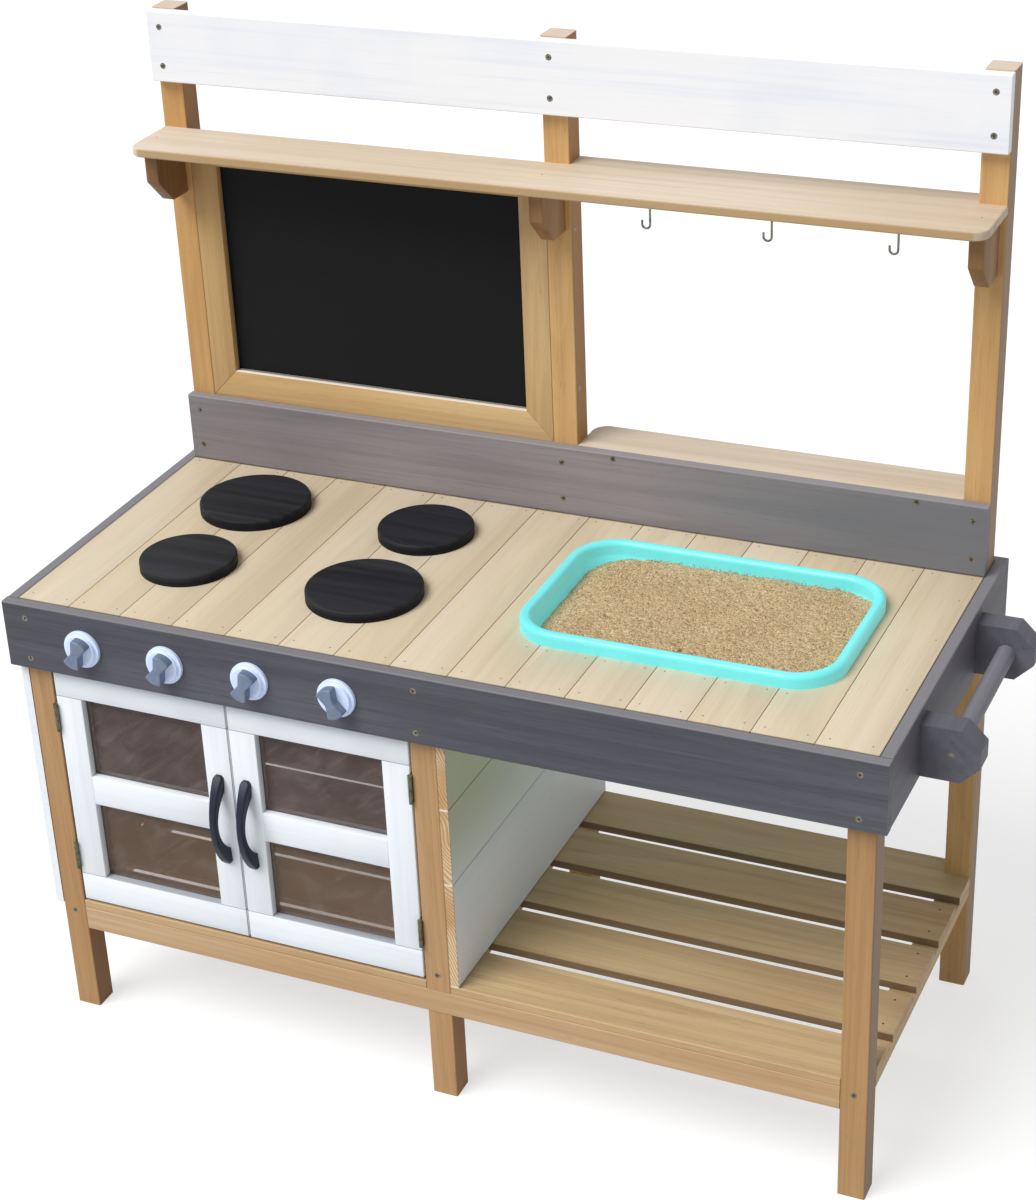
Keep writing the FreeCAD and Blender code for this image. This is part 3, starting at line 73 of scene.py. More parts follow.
INSIDE, RIGHT_INSIDE = 13, 987
LEFT_LEG_SIDE, MIDDLE_LEG_SIDE = 43, 515
LEG_COLUMNS = (28, 500, 972)
TOP = 548
BOARD_COUNT = 15
BOARD_STEP = (RIGHT_INSIDE - INSIDE) / BOARD_COUNT
SLAT_COUNT, SLAT_START, SLAT_STEP, SLAT_TOP = 5, 13.5, 89.6, 153
SPLASH_FRONT, SPLASH_TOP = 402, 630
SHELF_FRONT, SHELF_TOP = 331, 958
POST_TOP = 1095
FRAME_LEDGE, LEDGE_REAR = 663.5, 422
DISC_FOOT = 552
DOOR_JOINT_HEIGHTS = (157 + 36, 466.6 - 36)
DOOR_MEETING_EDGES = (262.75, 265.25)
LEFT_BOARDS_SKIN, MIDDLE_BOARDS_END, BACK_BOARDS_SKIN = 12.8, 14, 446
MIDDLE_BOARDS_TOP, MIDDLE_BOARDS_FOOT, MIDDLE_BOARD_SEAMS = 478, 153.4, (288, 383)
FIRST_KNOB, KNOB_STEP, KNOB_HEIGHT, GRIP_FACE = 99.7, 103.7, 507, -19.33


def across_axis(axis, place):
    """Plane across an axis, in metres."""
    return at(place, place, place)["XYZ".index(axis)]


# ---------------------------------------------------------------- finishes

def tint(code):
    """Linear colour of a paint written as six hexadecimal digits."""
    channels = []
    for start in (0, 2, 4):
        level = int(code[start:start + 2], 16) / 255
        channels.append(level / 12.92 if level <= 0.04045 else ((level + 0.055) / 1.055) ** 2.4)
    return (*channels, 1.0)


def line(axis, place, width, code):
    """Plane in millimetres where a finish turns to another colour, with its reach on either side."""
    return axis, across_axis(axis, place), width * MM, tint(code)


class Signal:
    """Output of a shader node that can be used in sums."""

    def __init__(self, finish, socket):
        self.finish = finish
        self.socket = socket

    def maths(self, operation, first, second):
        return self.finish.node("ShaderNodeMath", {"operation": operation}, {0: first, 1: second})

    def __add__(self, other):
        return self.maths("ADD", self, other)

    __radd__ = __add__

    def __sub__(self, other):
        return self.maths("SUBTRACT", self, other)

    def __rsub__(self, other):
        return self.maths("SUBTRACT", other, self)

    def __mul__(self, other):
        return self.maths("MULTIPLY", self, other)

    __rmul__ = __mul__

    def __truediv__(self, other):
        return self.maths("DIVIDE", self, other)

    def __gt__(self, other):
        return self.maths("GREATER_THAN", self, other)

    def __lt__(self, other):
        return self.maths("LESS_THAN", self, other)


class Finish:
    """Material under construction."""

    def __init__(self, name):
        self.material = bpy.data.materials.new(name)
        self.material.use_nodes = True
        self.tree = self.material.node_tree
        self.shader = self.tree.nodes["Principled BSDF"]

    def node(self, kind, settings=None, sockets=None, output=0):
        made = self.tree.nodes.new(kind)
        for name, setting in (settings or {}).items():
            setattr(made, name, setting)
        for key, given in (sockets or {}).items():
            if isinstance(given, Signal):
                self.tree.links.new(given.socket, made.inputs[key])
            else:
                made.inputs[key].default_value = given
        return Signal(self, made.outputs[output])

    def set(self, **sockets):
        """Values and signals on the shader's sockets; an underscore stands for a space."""
        for name, given in sockets.items():
            socket = self.shader.inputs[name.replace("_", " ")]
            if isinstance(given, Signal):
                self.tree.links.new(given.socket, socket)
            else:
                socket.default_value = given

    def here(self):
        """Place on the object, in metres of the kitchen's own frame."""
        return self.node("ShaderNodeTexCoord", output="Object")

    def place(self, turn=(0, 0, 0)):
        """Place on the object, turned so that the grain runs along Z."""
        return self.node("ShaderNodeMapping", {}, {"Vector": self.here(), "Rotation": turn})

    def stretch(self, where, scale):
        return self.node("ShaderNodeVectorMath", {"operation": "MULTIPLY"}, {0: where, 1: scale})

    def shifted(self, where, offset):
        return self.node("ShaderNodeVectorMath", {"operation": "ADD"}, {0: where, 1: offset})

    def part(self, where, axis):
        """One of the three coordinates of a place."""
        return self.node("ShaderNodeSeparateXYZ", {}, {0: where}, output="XYZ".index(axis))

    def noise(self, where, scale, detail=2.0, roughness=0.5, distortion=0.0):
        return self.node("ShaderNodeTexNoise", {}, {
            "Vector": where, "Scale": scale, "Detail": detail, "Roughness": roughness,
            "Distortion": distortion})

    def band(self, signal, low, high, start=0.0, end=1.0):
        """Smooth step of a signal between two levels."""
        return self.node("ShaderNodeMapRange", {"interpolation_type": "SMOOTHSTEP"}, {
            0: signal, 1: low, 2: high, 3: start, 4: end})

    def mix(self, amount, first, second):
        return self.node("ShaderNodeMix", {"data_type": "RGBA"}, {0: amount, 6: first, 7: second}, output=2)

    def whole(self, signal):
        return self.node("ShaderNodeMath", {"operation": "FLOOR"}, {0: signal})

    def fraction(self, signal):
        return self.node("ShaderNodeMath", {"operation": "FRACT"}, {0: signal})

    def distance(self, where, axis, plane):
        """Distance to a plane across an axis, on either side of it."""
        return self.node("ShaderNodeMath", {"operation": "ABSOLUTE"}, {0: self.part(where, axis) - plane})

    def bump(self, height, strength, distance):
        self.set(Normal=self.node("ShaderNodeBump", {}, {
            "Strength": strength, "Distance": distance, "Height": height}))


TURNS = {"X": (0, -math.pi / 2, 0), "Y": (math.pi / 2, 0, 0), "Z": (0, 0, 0)}


JOINT_HALF = 0.55 * MM
WORN_AND_SHADED_SHARE = 0.75


def timber(name, along, shades, grain=1.0, rings=13.0, knots=0.0, boards=None, worn_and_shaded=()):
    """Softwood whose grain runs along an axis. Shades are the pale, middle and dark colours.

    Boards are an axis, a start and a pitch in metres where several boards share the finish. Worn and
    shaded edges are lines, as line() gives them: real wear and weathering, and also painted shade and
    painted highlights where a line stands for light and shade."""
    finish = Finish(name)
    here = finish.here()
    where = finish.place(TURNS[along])
    own = None
    if boards:
        axis, start, pitch = boards
        reach = (finish.part(here, axis) - start) / pitch
        within = finish.fraction(reach)
        joint = (within < JOINT_HALF / pitch) + (within > 1.0 - JOINT_HALF / pitch)
        number = finish.whole(reach)
        own = finish.node("ShaderNodeTexWhiteNoise", {"noise_dimensions": "1D"}, {"W": number + 0.5}, 1)
        where = finish.shifted(where, finish.stretch(own, (3.0, 5.0, 2.0)))
    slow = finish.noise(finish.stretch(where, (11.0, 11.0, 0.7)), 1.0, 1.0, 0.4, 0.2)
    if knots:
        cell = finish.stretch(where, (7.0, 7.0, 2.6))
        knot = finish.node("ShaderNodeTexVoronoi", {}, {"Vector": cell, "Scale": 1.0})
        chance = finish.node("ShaderNodeTexVoronoi", {}, {"Vector": cell, "Scale": 1.0}, 1)
        chosen = finish.part(chance, "X") < knots
        heart = finish.band(knot, 0.03, 0.06, 1.0, 0.0) * chosen
        around = finish.band(knot, 0.04, 0.3, 1.0, 0.0) * chosen
        slow = slow + around * 0.25
    turns = finish.fraction(slow * rings)
    late = finish.band(turns, 0.2, 0.9) - finish.band(turns, 0.9, 1.0)
    fibre = finish.noise(finish.stretch(where, (520.0, 520.0, 8.0)), 1.0, 3.0, 0.6)
    streak = finish.noise(finish.stretch(where, (75.0, 75.0, 1.7)), 1.0, 3.0, 0.55)
    broad = finish.noise(finish.stretch(where, (20.0, 20.0, 0.9)), 1.0, 2.0, 0.5)
    drift = finish.noise(finish.stretch(where, (4.0, 4.0, 1.4)), 1.0, 2.0, 0.5)
    pores = finish.noise(finish.stretch(where, (800.0, 800.0, 45.0)), 1.0, 1.0, 0.5)
    pale, middle, dark = shades
    base = finish.mix(finish.band(drift, 0.38, 0.62), pale, middle)
    base = finish.mix(finish.band(broad, 0.5, 0.75) * (0.45 * grain), base, dark)
    base = finish.mix(late * (0.2 * grain), base, dark)
    base = finish.mix(finish.band(streak, 0.48, 0.7) * (0.3 * grain), base, dark)
    base = finish.mix(finish.band(fibre, 0.45, 0.75) * (0.28 * grain), base, dark)
    base = finish.mix(finish.band(fibre, 0.25, 0.45, 1.0, 0.0) * 0.2, base, pale)
    base = finish.mix(finish.band(pores, 0.66, 0.74) * (0.4 * grain), base, dark)
    if own:
        base = finish.mix(finish.part(own, "Z") * 0.3, base, middle)
        base = finish.mix(finish.band(finish.part(own, "Y"), 0.3, 1.0) * 0.25, base, pale)
        base = finish.mix(joint * 0.8, base, tint("8a6844"))
    if knots:
        base = finish.mix(around * 0.35, base, dark)
        base = finish.mix(heart * 0.85, base, tint("5a3a22"))
    # Lines of real wear and weathering, and of painted shade and painted highlights, fading away from their
    # planes
    for axis, plane, depth, colour in worn_and_shaded:
        away = finish.distance(here, axis, plane) + (broad - 0.5) * (0.8 * depth)
        base = finish.mix(finish.band(away, 0.0, depth, 1.0, 0.0) * WORN_AND_SHADED_SHARE, base, colour)
    finish.set(Base_Color=base, Roughness=0.5 + 0.16 * fibre, Specular_IOR_Level=0.35)
    finish.bump(late * 0.3 + fibre + streak * 0.5, 0.3, 0.25 * MM)
    return finish


def tones(pale, middle, dark):
    return tint(pale), tint(middle), tint(dark)


HONEY = tones("dcb37a", "cfa267", "9f7042")
LEG = tones("c29c70", "b48c5e", "8a603a")
FRAME = tones("d6b584", "c9a571", "9c7646")
SILVERED = tones("dccfb8", "d4c4a7", "b09874")
SHELF = tones("dfd0bd", "d3c0a8", "a98f6e")
SLAT = tones("d2b68c", "c3a278", "8f6942")
RAIL = tones("cfb08b", "c39f75", "9a734a")
BRACKET = tones("a17a50", "8f6a44", "66452a")
STAIN = tones("5c5c65", "4e4e57", "36363d")
SIDE_STAIN = tones("66636b", "5c5a61", "46444a")
RAIL_STAIN = tones("85848d", "78777f", "5b5a62")
BLOCK = tones("66666f", "595963", "3f3f47")
GREY_BOARD = tones("989093", "888285", "656166")
BLACKENED = tones("15161b", "1a1b21", "3a3b41")

# Lines along the timber: painted shade on the right-hand side faces of the legs and posts and on the
# slats' front faces, a painted highlight and a painted shadow on the board frame's ledge, weathered grey
# post tops, dark lines along the worktop's edges, the aprons' top edges lighter, partly rubbed and partly
# painted light from above, and the backsplash turning cooler and darker towards its right end, with a
# lighter top edge
# Painted shade: the right-hand side faces of the legs and posts, turned from the light, darkened
SHADED_SIDES = [line("X", RIGHT_INSIDE, 1.0, "7f6a5c"), line("X", LEFT_LEG_SIDE, 1.0, "7d5736"),
                line("X", MIDDLE_LEG_SIDE, 1.0, "99693c")]
SILVERED_END = [line("Z", POST_TOP, 1.2, "dccdc2")]
WORKTOP_RIM = [line(axis, place, 2.4, "33271c")
               for axis, place in (("X", INSIDE), ("X", RIGHT_INSIDE), ("Y", INSIDE), ("Y", SPLASH_FRONT))]
# Painted shade on the front faces of the slats behind the first
SHADED_SLAT_FRONTS = [line("Y", INSIDE + SLAT_STEP * slat, 1.2, "56402b") for slat in range(1, SLAT_COUNT)]
# Painted highlight along the front edge of the board frame's ledge, and painted shadow at its rear against
# the board
LEDGE_HIGHLIGHT_AND_SHADOW = [line("Z", FRAME_LEDGE, 0.8, "fffaf0"), line("Y", LEDGE_REAR, 3.4, "1c1712")]
# The aprons' top edges lighter: partly rubbed wear, partly painted light from above
RUBBED_AND_LIT_RIM = [line("Z", TOP, 2.5, "87868b")]
SPLASH_LINES = [line("X", RIGHT_INSIDE, 450.0, "6c6f76"), line("Z", SPLASH_TOP, 2.0, "8f8d90")]
WORKTOP_BOARDS = ("X", across_axis("X", INSIDE), BOARD_STEP * MM)
SLATS = ("Y", across_axis("Y", 5), SLAT_STEP * MM)

post_wood = timber("oiled_post_wood", "Z", HONEY, 0.8, 14.0, 0.04, worn_and_shaded=SHADED_SIDES + SILVERED_END)
leg_wood = timber("oiled_leg_wood", "Z", LEG, 0.9, 14.0, 0.04, worn_and_shaded=SHADED_SIDES)
rail_wood = timber("oiled_rail_wood", "X", RAIL, 0.7, 13.0, 0.04)
depth_wood = timber("oiled_depth_wood", "Y", SLAT, 0.8, 13.0, 0.04)
worktop_wood = timber("pale_worktop_wood", "Y", SILVERED, 0.6, 12.0, boards=WORKTOP_BOARDS,
                      worn_and_shaded=WORKTOP_RIM)
slat_wood = timber("slat_wood", "X", SLAT, 1.0, 12.0, 0.12, boards=SLATS, worn_and_shaded=SHADED_SLAT_FRONTS)
shelf_wood = timber("shelf_wood", "X", SHELF, 0.55, 12.0, worn_and_shaded=[line("Y", SHELF_FRONT, 1.7, "b08d57")])
frame_post_wood = timber("board_frame_upright_wood", "Z", FRAME, 0.7, 13.0)
frame_rail_wood = timber("board_frame_cross_wood", "X", FRAME, 0.7, 13.0, worn_and_shaded=LEDGE_HIGHLIGHT_AND_SHADOW)
bracket_wood = timber("bracket_wood", "Z", BRACKET, 0.8, 13.0)
stain_long = timber("grey_stain_along", "X", STAIN, 1.3, 11.0, worn_and_shaded=RUBBED_AND_LIT_RIM)
stain_deep = timber("grey_stain_deep", "Y", SIDE_STAIN, 0.8, 11.0, worn_and_shaded=RUBBED_AND_LIT_RIM)
stain_rail = timber("grey_stain_rail", "Y", RAIL_STAIN, 0.7, 11.0)
stain_block = timber("grey_stain_block", "Y", BLOCK, 0.8, 11.0)
stain_splash = timber("grey_stain_upright_board", "X", GREY_BOARD, 0.8, 11.0, worn_and_shaded=SPLASH_LINES)


def paint(name, along, bare=(), seams_and_shade=(), covers=0.92, coat="f4faff"):
    """White paint brushed on timber, faint grain showing through.

    Bare faces are an axis, a plane in metres, a side of it where the timber shows and the
    raggedness of the paint's edge. Seams and shade are lines, as line() gives them: real seams, and
    painted shade where a line stands for it."""
    finish = Finish(name)
    here = finish.here()
    where = finish.place(TURNS[along])
    fibre = finish.noise(finish.stretch(where, (430.0, 430.0, 7.0)), 1.0, 3.0, 0.6)
    brush = finish.noise(finish.stretch(where, (110.0, 110.0, 2.5)), 1.0, 2.0, 0.5)
    cloud = finish.noise(where, 9.0, 3.0, 0.5)
    thin = finish.noise(finish.stretch(where, (60.0, 60.0, 1.2)), 1.0, 3.0, 0.6)
    base = finish.mix(finish.band(brush, 0.45, 0.8) * 0.4 + finish.band(cloud, 0.5, 0.75) * 0.25,
                      tint(coat), tint("e0e9f8"))
    base = finish.mix(finish.band(fibre, 0.55, 0.8) * 0.25, base, tint("cfd8e8"))
    base = finish.mix(finish.band(thin, 0.6, 0.78) * (1.0 - covers), base, tint("cdbb9c"))
    grain = finish.noise(finish.stretch(where, (260.0, 260.0, 4.0)), 1.0, 4.0, 0.6)
    sweep = finish.noise(here, 14.0, 1.0, 0.5) * 0.06
    rings = finish.fraction((finish.part(here, "X") + finish.part(here, "Z") * 0.6 + sweep) * 230.0)
    timber_tone = finish.mix(finish.band(grain, 0.35, 0.7), tint("a98760"), tint("7d5f40"))
    ends = finish.mix(finish.band(cloud, 0.45, 0.65), tint("e2c9a4"), tint("c9a170"))
    ends = finish.mix(finish.band(rings, 0.3, 0.9) * 0.7, ends, tint("a06f3d"))
    flecks = finish.noise(where, 60.0, 2.0, 0.5) - 0.5
    # Seam lines, and bands of painted shade where a line stands for it; on bare ends a cream line follows
    # each
    for axis, plane, half, colour in seams_and_shade:
        away = finish.distance(here, axis, plane)
        base = finish.mix(finish.band(away, 0.4 * half, half, 0.9, 0.0), base, colour)
        ends = finish.mix(finish.band(away, 0.8 * MM, 1.6 * MM, 0.9, 0.0), ends, tint("f6eedc"))
    for axis, plane, side, ragged in bare:
        past = (finish.part(here, axis) + flecks * ragged - plane) * side > 0.0
        base = finish.mix(past, base, ends if axis == "Y" else timber_tone)
    finish.set(Base_Color=base, Roughness=0.42 + 0.12 * fibre, Specular_IOR_Level=0.4)
    finish.bump(fibre + brush * 0.7, 0.25, 0.25 * MM)
    return finish


DOOR_JOINTS_AND_GAP_SHADE = [line("Z", height, 0.7, "a3a9b3") for height in DOOR_JOINT_HEIGHTS]
# Painted shade on the bevels of the doors' meeting edges, so that the gap between the doors reads dark
DOOR_JOINTS_AND_GAP_SHADE += [line("X", edge, 0.45, "6b5a4c") for edge in DOOR_MEETING_EDGES]
# Painted shade from the apron over the middle boards' upper part, fading downwards
MIDDLE_SHADE_AND_SEAMS = [line("Z", MIDDLE_BOARDS_TOP, 230.0, "b8be9e")]
MIDDLE_SHADE_AND_SEAMS += [line("Z", seam, 0.9, "5f6b62") for seam in MIDDLE_BOARD_SEAMS]
# Painted shade along the middle boards' foot where they stand on the slats
MIDDLE_SHADE_AND_SEAMS += [line("Z", MIDDLE_BOARDS_FOOT, 1.3, "3a332c")]
LEFT_INSIDE = [("X", across_axis("X", LEFT_BOARDS_SKIN), 1.0, 0.2 * MM)]
MIDDLE_END = [("Y", across_axis("Y", MIDDLE_BOARDS_END), -1.0, 0.5 * MM)]
BACK_INSIDE = [("Y", across_axis("Y", BACK_BOARDS_SKIN), -1.0, 0.2 * MM)]

white_along = paint("white_paint_along", "X", seams_and_shade=DOOR_JOINTS_AND_GAP_SHADE)
white_upright = paint("white_paint_upright", "Z", seams_and_shade=DOOR_JOINTS_AND_GAP_SHADE)
white_header = paint("white_header_board", "X", covers=0.985, coat="fbfcff")
white_left = paint("white_left_boards", "Y", LEFT_INSIDE)
# The middle boards' coat is a little darker and greyer than the other white paint: painted shade of the
# open bay
white_middle = paint("white_middle_boards", "Y", MIDDLE_END, MIDDLE_SHADE_AND_SEAMS, coat="ecf0f2")
white_back = paint("white_back_boards", "X", BACK_INSIDE)


def plain(name, code, roughness, metallic, shade, scale, gloss=0.5):
    """Moulded or metal finish with slight mottling between two colours."""
    finish = Finish(name)
    where = finish.place()
    cloud = finish.noise(where, scale, 3.0, 0.55)
    finish.set(Base_Color=finish.mix(finish.band(cloud, 0.35, 0.7), tint(code), tint(shade)),
               Roughness=roughness + 0.12 * cloud, Metallic=metallic, Specular_IOR_Level=gloss)
    finish.bump(finish.noise(where, 900.0, 2.0, 0.5), 0.2, 0.05 * MM)
    return finish


# Painted shade: the discs' sides darkened almost black up from their foot
black_stain = timber("black_disc_wood", "X", BLACKENED, 0.9, 12.0,
                     worn_and_shaded=[line("Z", DISC_FOOT, 6.8, "030406")])
black_stain.set(Specular_IOR_Level=0.15)
slate = plain("writing_board_face", "0f1012", 0.7, 0.0, "131417", 14.0, 0.2)
turquoise = plain("turquoise_plastic", "62d3d6", 0.24, 0.0, "5bced2", 20.0)
# Painted light: the tray glows faintly turquoise though it is no lamp, lifting its shaded inner walls
turquoise.set(Emission_Color=tint("90f4f4"), Emission_Strength=0.28)
handle_plastic = plain("dark_handle_plastic", "141c2e", 0.34, 0.0, "1a2437", 80.0, 0.28)
dial_plastic = plain("white_dial_plastic", "dde9ff", 0.2, 0.0, "d3e2ff", 50.0)
# Painted light: the dials glow faintly blue-white though they are no lamp
dial_plastic.set(Emission_Color=tint("b4ccff"), Emission_Strength=0.12)
grip_plastic = plain("grey_grip_plastic", "76859e", 0.36, 0.0, "6b7a93", 90.0)
zinc = plain("zinc_steel", "8d8778", 0.4, 0.8, "5d574c", 300.0)
grip_mark = plain("grip_mark_plastic", "5d6a80", 0.4, 0.0, "566378", 90.0)
# Painted shade: dark finish standing for the shade in the screws' drive recesses; the slats' nail heads
# take it too
recess_shade = plain("screw_recess", "2a2622", 0.6, 0.3, "1c1916", 400.0)
nail_steel = plain("nail_head_steel", "7d6e5a", 0.5, 0.3, "5c4f3f", 500.0)
hinge_steel = plain("hinge_steel", "77745a", 0.5, 0.35, "4a4a36", 200.0)
cream = plain("light_between_boards", "fff2dc", 0.6, 0.0, "f3e3c8", 30.0)
hook_steel = plain("hook_steel", "7f857b", 0.28, 0.9, "4b5046", 250.0)

FILM_TURNS = (290, 330)


def glazing():
    """Clear pane with a film of dust, wiped streaks and fine scratches."""
    finish = Finish("clear_pane")
    where = finish.place()
    dust = finish.noise(where, 14.0, 5.0, 0.65, 0.6)
    wipe = finish.noise(finish.stretch(finish.place((0.0, 0.7, 0.0)), (18.0, 18.0, 160.0)), 1.0, 3.0, 0.6)
    scratch = finish.noise(finish.stretch(finish.place((0.0, -0.5, 0.0)), (6.0, 6.0, 420.0)), 1.0, 2.0, 0.5)
    haze = finish.band(dust, 0.4, 0.8) * 0.16 + finish.band(wipe, 0.5, 0.8) * 0.1
    haze = haze + finish.band(scratch, 0.68, 0.74) * 0.12
    high = finish.band(finish.part(where, "Z"), *(across_axis("Z", height) for height in FILM_TURNS))
    film = finish.mix(high, tint("7b634f"), tint("665551"))
    finish.set(Base_Color=finish.mix(haze * 3.0, film, tint("94847c")), Roughness=0.14,
               Alpha=0.42 + haze, Specular_IOR_Level=0.4)
    return finish


pane = glazing()


def sand_finish():
    finish = Finish("coarse_sand")
    where = finish.place()
    grain = finish.noise(where, 560.0, 3.0, 0.65)
    lump = finish.noise(where, 130.0, 4.0, 0.6)
    drift = finish.noise(where, 14.0, 3.0, 0.5)
    base = finish.mix(finish.band(drift, 0.35, 0.7), tint("d8bb8e"), tint("c8a87a"))
    # Pale grain tops and dark grain and lump hollows follow the bump's heights: partly the sand's own mixed
    # grains, partly painted shade and painted highlight
    base = finish.mix(finish.band(grain, 0.52, 0.62) * 0.8, base, tint("f8e8c8"))
    base = finish.mix(finish.band(grain, 0.35, 0.46, 1.0, 0.0) * 0.85, base, tint("6e5030"))
    base = finish.mix(finish.band(lump, 0.3, 0.43, 1.0, 0.0) * 0.5, base, tint("6f5334"))
    finish.set(Base_Color=base, Roughness=0.95, Specular_IOR_Level=0.2)
    finish.bump(grain + lump * 1.6, 1.0, 2.5 * MM)
    return finish


sand = sand_finish()

# ---------------------------------------------------------------- finishes on the frame's pieces

FINISHES = {
    leg_wood: ["front_left_leg", "front_middle_leg", "front_right_leg"],
    post_wood: ["back_left_post", "back_middle_post", "back_right_post"],
    rail_wood: ["front_lower_rail", "back_lower_rail"],
    depth_wood: ["cross_rails", "middle_cleat", "worktop_battens"],
    worktop_wood: ["worktop_boards"],
    slat_wood: ["shelf_slats"],
    shelf_wood: ["upper_shelf", "rear_ledge"],
    frame_post_wood: ["writing_board_stiles"],
    frame_rail_wood: ["writing_board_rails"],
    bracket_wood: ["shelf_brackets"],
    stain_long: ["front_apron", "back_apron"],
    stain_splash: ["backsplash"],
    stain_block: ["rail_blocks"],
    stain_deep: ["left_apron", "right_apron"],
    stain_rail: ["towel_rail"],
    white_header: ["header_board"],
    white_along: ["left_door_rails", "right_door_rails"],
    white_upright: ["left_door_stiles", "right_door_stiles"],
    white_left: ["left_planks"],
    white_middle: ["middle_planks"],
    white_back: ["back_planks"],
    black_stain: ["burner_discs"],
    slate: ["writing_board_panel"],
    turquoise: ["tray"],
    sand: ["sand_fill"],
    pane: ["left_door_panes", "right_door_panes"],
    handle_plastic: ["left_door_handle", "right_door_handle"],
    dial_plastic: ["knob_%d_dial" % turn for turn in range(1, 5)],
    grip_plastic: ["knob_%d_grip" % turn for turn in range(1, 5)],
    zinc: ["apron_screws", "upper_board_screws", "leg_screws", "frame_screws", "block_screw",
           "knob_pivots"],
    hinge_steel: ["left_hinge_door_leaves", "left_hinge_leg_leaves", "right_hinge_door_leaves",
                  "right_hinge_leg_leaves"],
    hook_steel: ["shelf_hooks"],
}

for finish, names in FINISHES.items():
    for name in names:
        for slot in nodes[name].material_slots:
            slot.material = finish.material

# ---------------------------------------------------------------- pieces shaped further

def settle(shape, name, finish, body, stands_for=(), crease=40.0):
    """Object from a finished mesh, riding on its body."""
    bmesh.ops.recalc_face_normals(shape, faces=shape.faces)
    mesh = bpy.data.meshes.new(name)
    shape.to_mesh(mesh)
    shape.free()
    mesh.materials.append(finish.material)
    for face in mesh.polygons:
        face.use_smooth = True
    mesh.set_sharp_from_angle(angle=math.radians(crease))
    item = bpy.data.objects.new(name, mesh)
    bpy.context.scene.collection.objects.link(item)
    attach(item, body)
    if stands_for:
        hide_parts(*stands_for)
    return item


def merged(name):
    """Mesh of a node with its loose triangles joined and its flat faces cleaned up."""
    shape = bmesh.new()
    shape.from_mesh(nodes[name].data)
    bmesh.ops.remove_doubles(shape, verts=shape.verts, dist=0.01 * MM)
    bmesh.ops.dissolve_limit(shape, angle_limit=math.radians(0.5), verts=shape.verts, edges=shape.edges)
    return shape


def eased(name, width, finish, seat=None):
    """Wooden piece whose long edges are taken off with sandpaper.

    A seat is the height in metres to which its lowest faces are let down, so that no light
    shows under them."""
    shape = merged(name)
    if seat:
        lowest = min(vert.co.z for vert in shape.verts)
        for vert in shape.verts:
            if vert.co.z < lowest + 0.1 * MM:
                vert.co.z = seat
    edges = [edge for edge in shape.edges if len(edge.link_faces) == 2 and edge.calc_length() > 5 * MM
             and edge.is_convex and edge.calc_face_angle() > math.radians(30)]
    bmesh.ops.bevel(shape, geom=edges, offset=width, offset_type="OFFSET", segments=2, profile=0.5,
                    affect="EDGES", material=-1, clamp_overlap=True)
    return settle(shape, "eased_" + name, finish, nodes[name]["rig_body"], (name,))


eased("worktop_boards", 0.7 * MM, worktop_wood)
eased("rear_ledge", 1.5 * MM, shelf_wood)
eased("shelf_brackets", 1.2 * MM, bracket_wood)
FRAME_SEAT = across_axis("Z", SPLASH_TOP) - MM
eased("writing_board_stiles", 0.8 * MM, frame_post_wood, FRAME_SEAT)
eased("writing_board_rails", 0.8 * MM, frame_rail_wood, FRAME_SEAT)
for side in ("left", "right"):
    eased(side + "_door_stiles", 0.8 * MM, white_upright)
    eased(side + "_door_rails", 0.8 * MM, white_along)


def heads(name, places, radius, rise, finish, body, turn=Matrix.Identity(3)):
    """Row of small domed heads; each place is the middle of a head on the surface."""
    shape = bmesh.new()
    for place in places:
        bmesh.ops.create_cone(shape, cap_ends=True, segments=10, radius1=radius, radius2=radius * 0.55,
                              depth=rise, matrix=Matrix.Translation(place) @ turn.to_4x4())
    return settle(shape, name, finish, body)


NAIL_INSET = 11
NAIL_ROWS = [28.0, 394.0]
TRAY_BATTEN_ROW = 97.0
TRAY_SIDES = (575, 900)
END_BATTEN, END_BATTEN_NAILS = 976, (143, 251, 342)
SHELF_NAIL_ROW, SHELF_NAILS = 375, (26.5, 500, 971)


def scattered(across, deep):
    """Nail in the worktop, a little off its line as nails are."""
    return at(across + 1.5 * noise.noise(Vector((across, deep, 0.3))),
              deep + 2.5 * noise.noise(Vector((deep, across, 1.7))), TOP)


nails = []
for board in range(BOARD_COUNT):
    left = INSIDE + BOARD_STEP * board
    for across in (left + NAIL_INSET, left + BOARD_STEP - NAIL_INSET):
        rows = NAIL_ROWS + [TRAY_BATTEN_ROW] if TRAY_SIDES[0] < across < TRAY_SIDES[1] else NAIL_ROWS
        nails += [scattered(across, row) for row in rows]
nails += [at(END_BATTEN, deep, TOP) for deep in END_BATTEN_NAILS]
nails += [at(across, SHELF_NAIL_ROW, SHELF_TOP) for across in SHELF_NAILS]
heads("board_nails", nails, 1.25 * MM, 0.3 * MM, nail_steel, "carcass")

FIRST_SLAT, LAST_SLAT = 0, SLAT_COUNT - 1
FRONT_NAIL, REAR_NAIL = 14.5, 59.0
slat_nails = []
for slat in range(SLAT_COUNT):
    for along in (FRONT_NAIL, REAR_NAIL):
        for across in (LEG_COLUMNS[0], LEG_COLUMNS[2]):
            at_notch = slat in (FIRST_SLAT, LAST_SLAT) and across == LEG_COLUMNS[2] and along == FRONT_NAIL
            if not at_notch:
                slat_nails.append(at(across, SLAT_START + SLAT_STEP * slat + along, SLAT_TOP))
heads("slat_nails", slat_nails, 1.7 * MM, 0.3 * MM, recess_shade, "carcass")


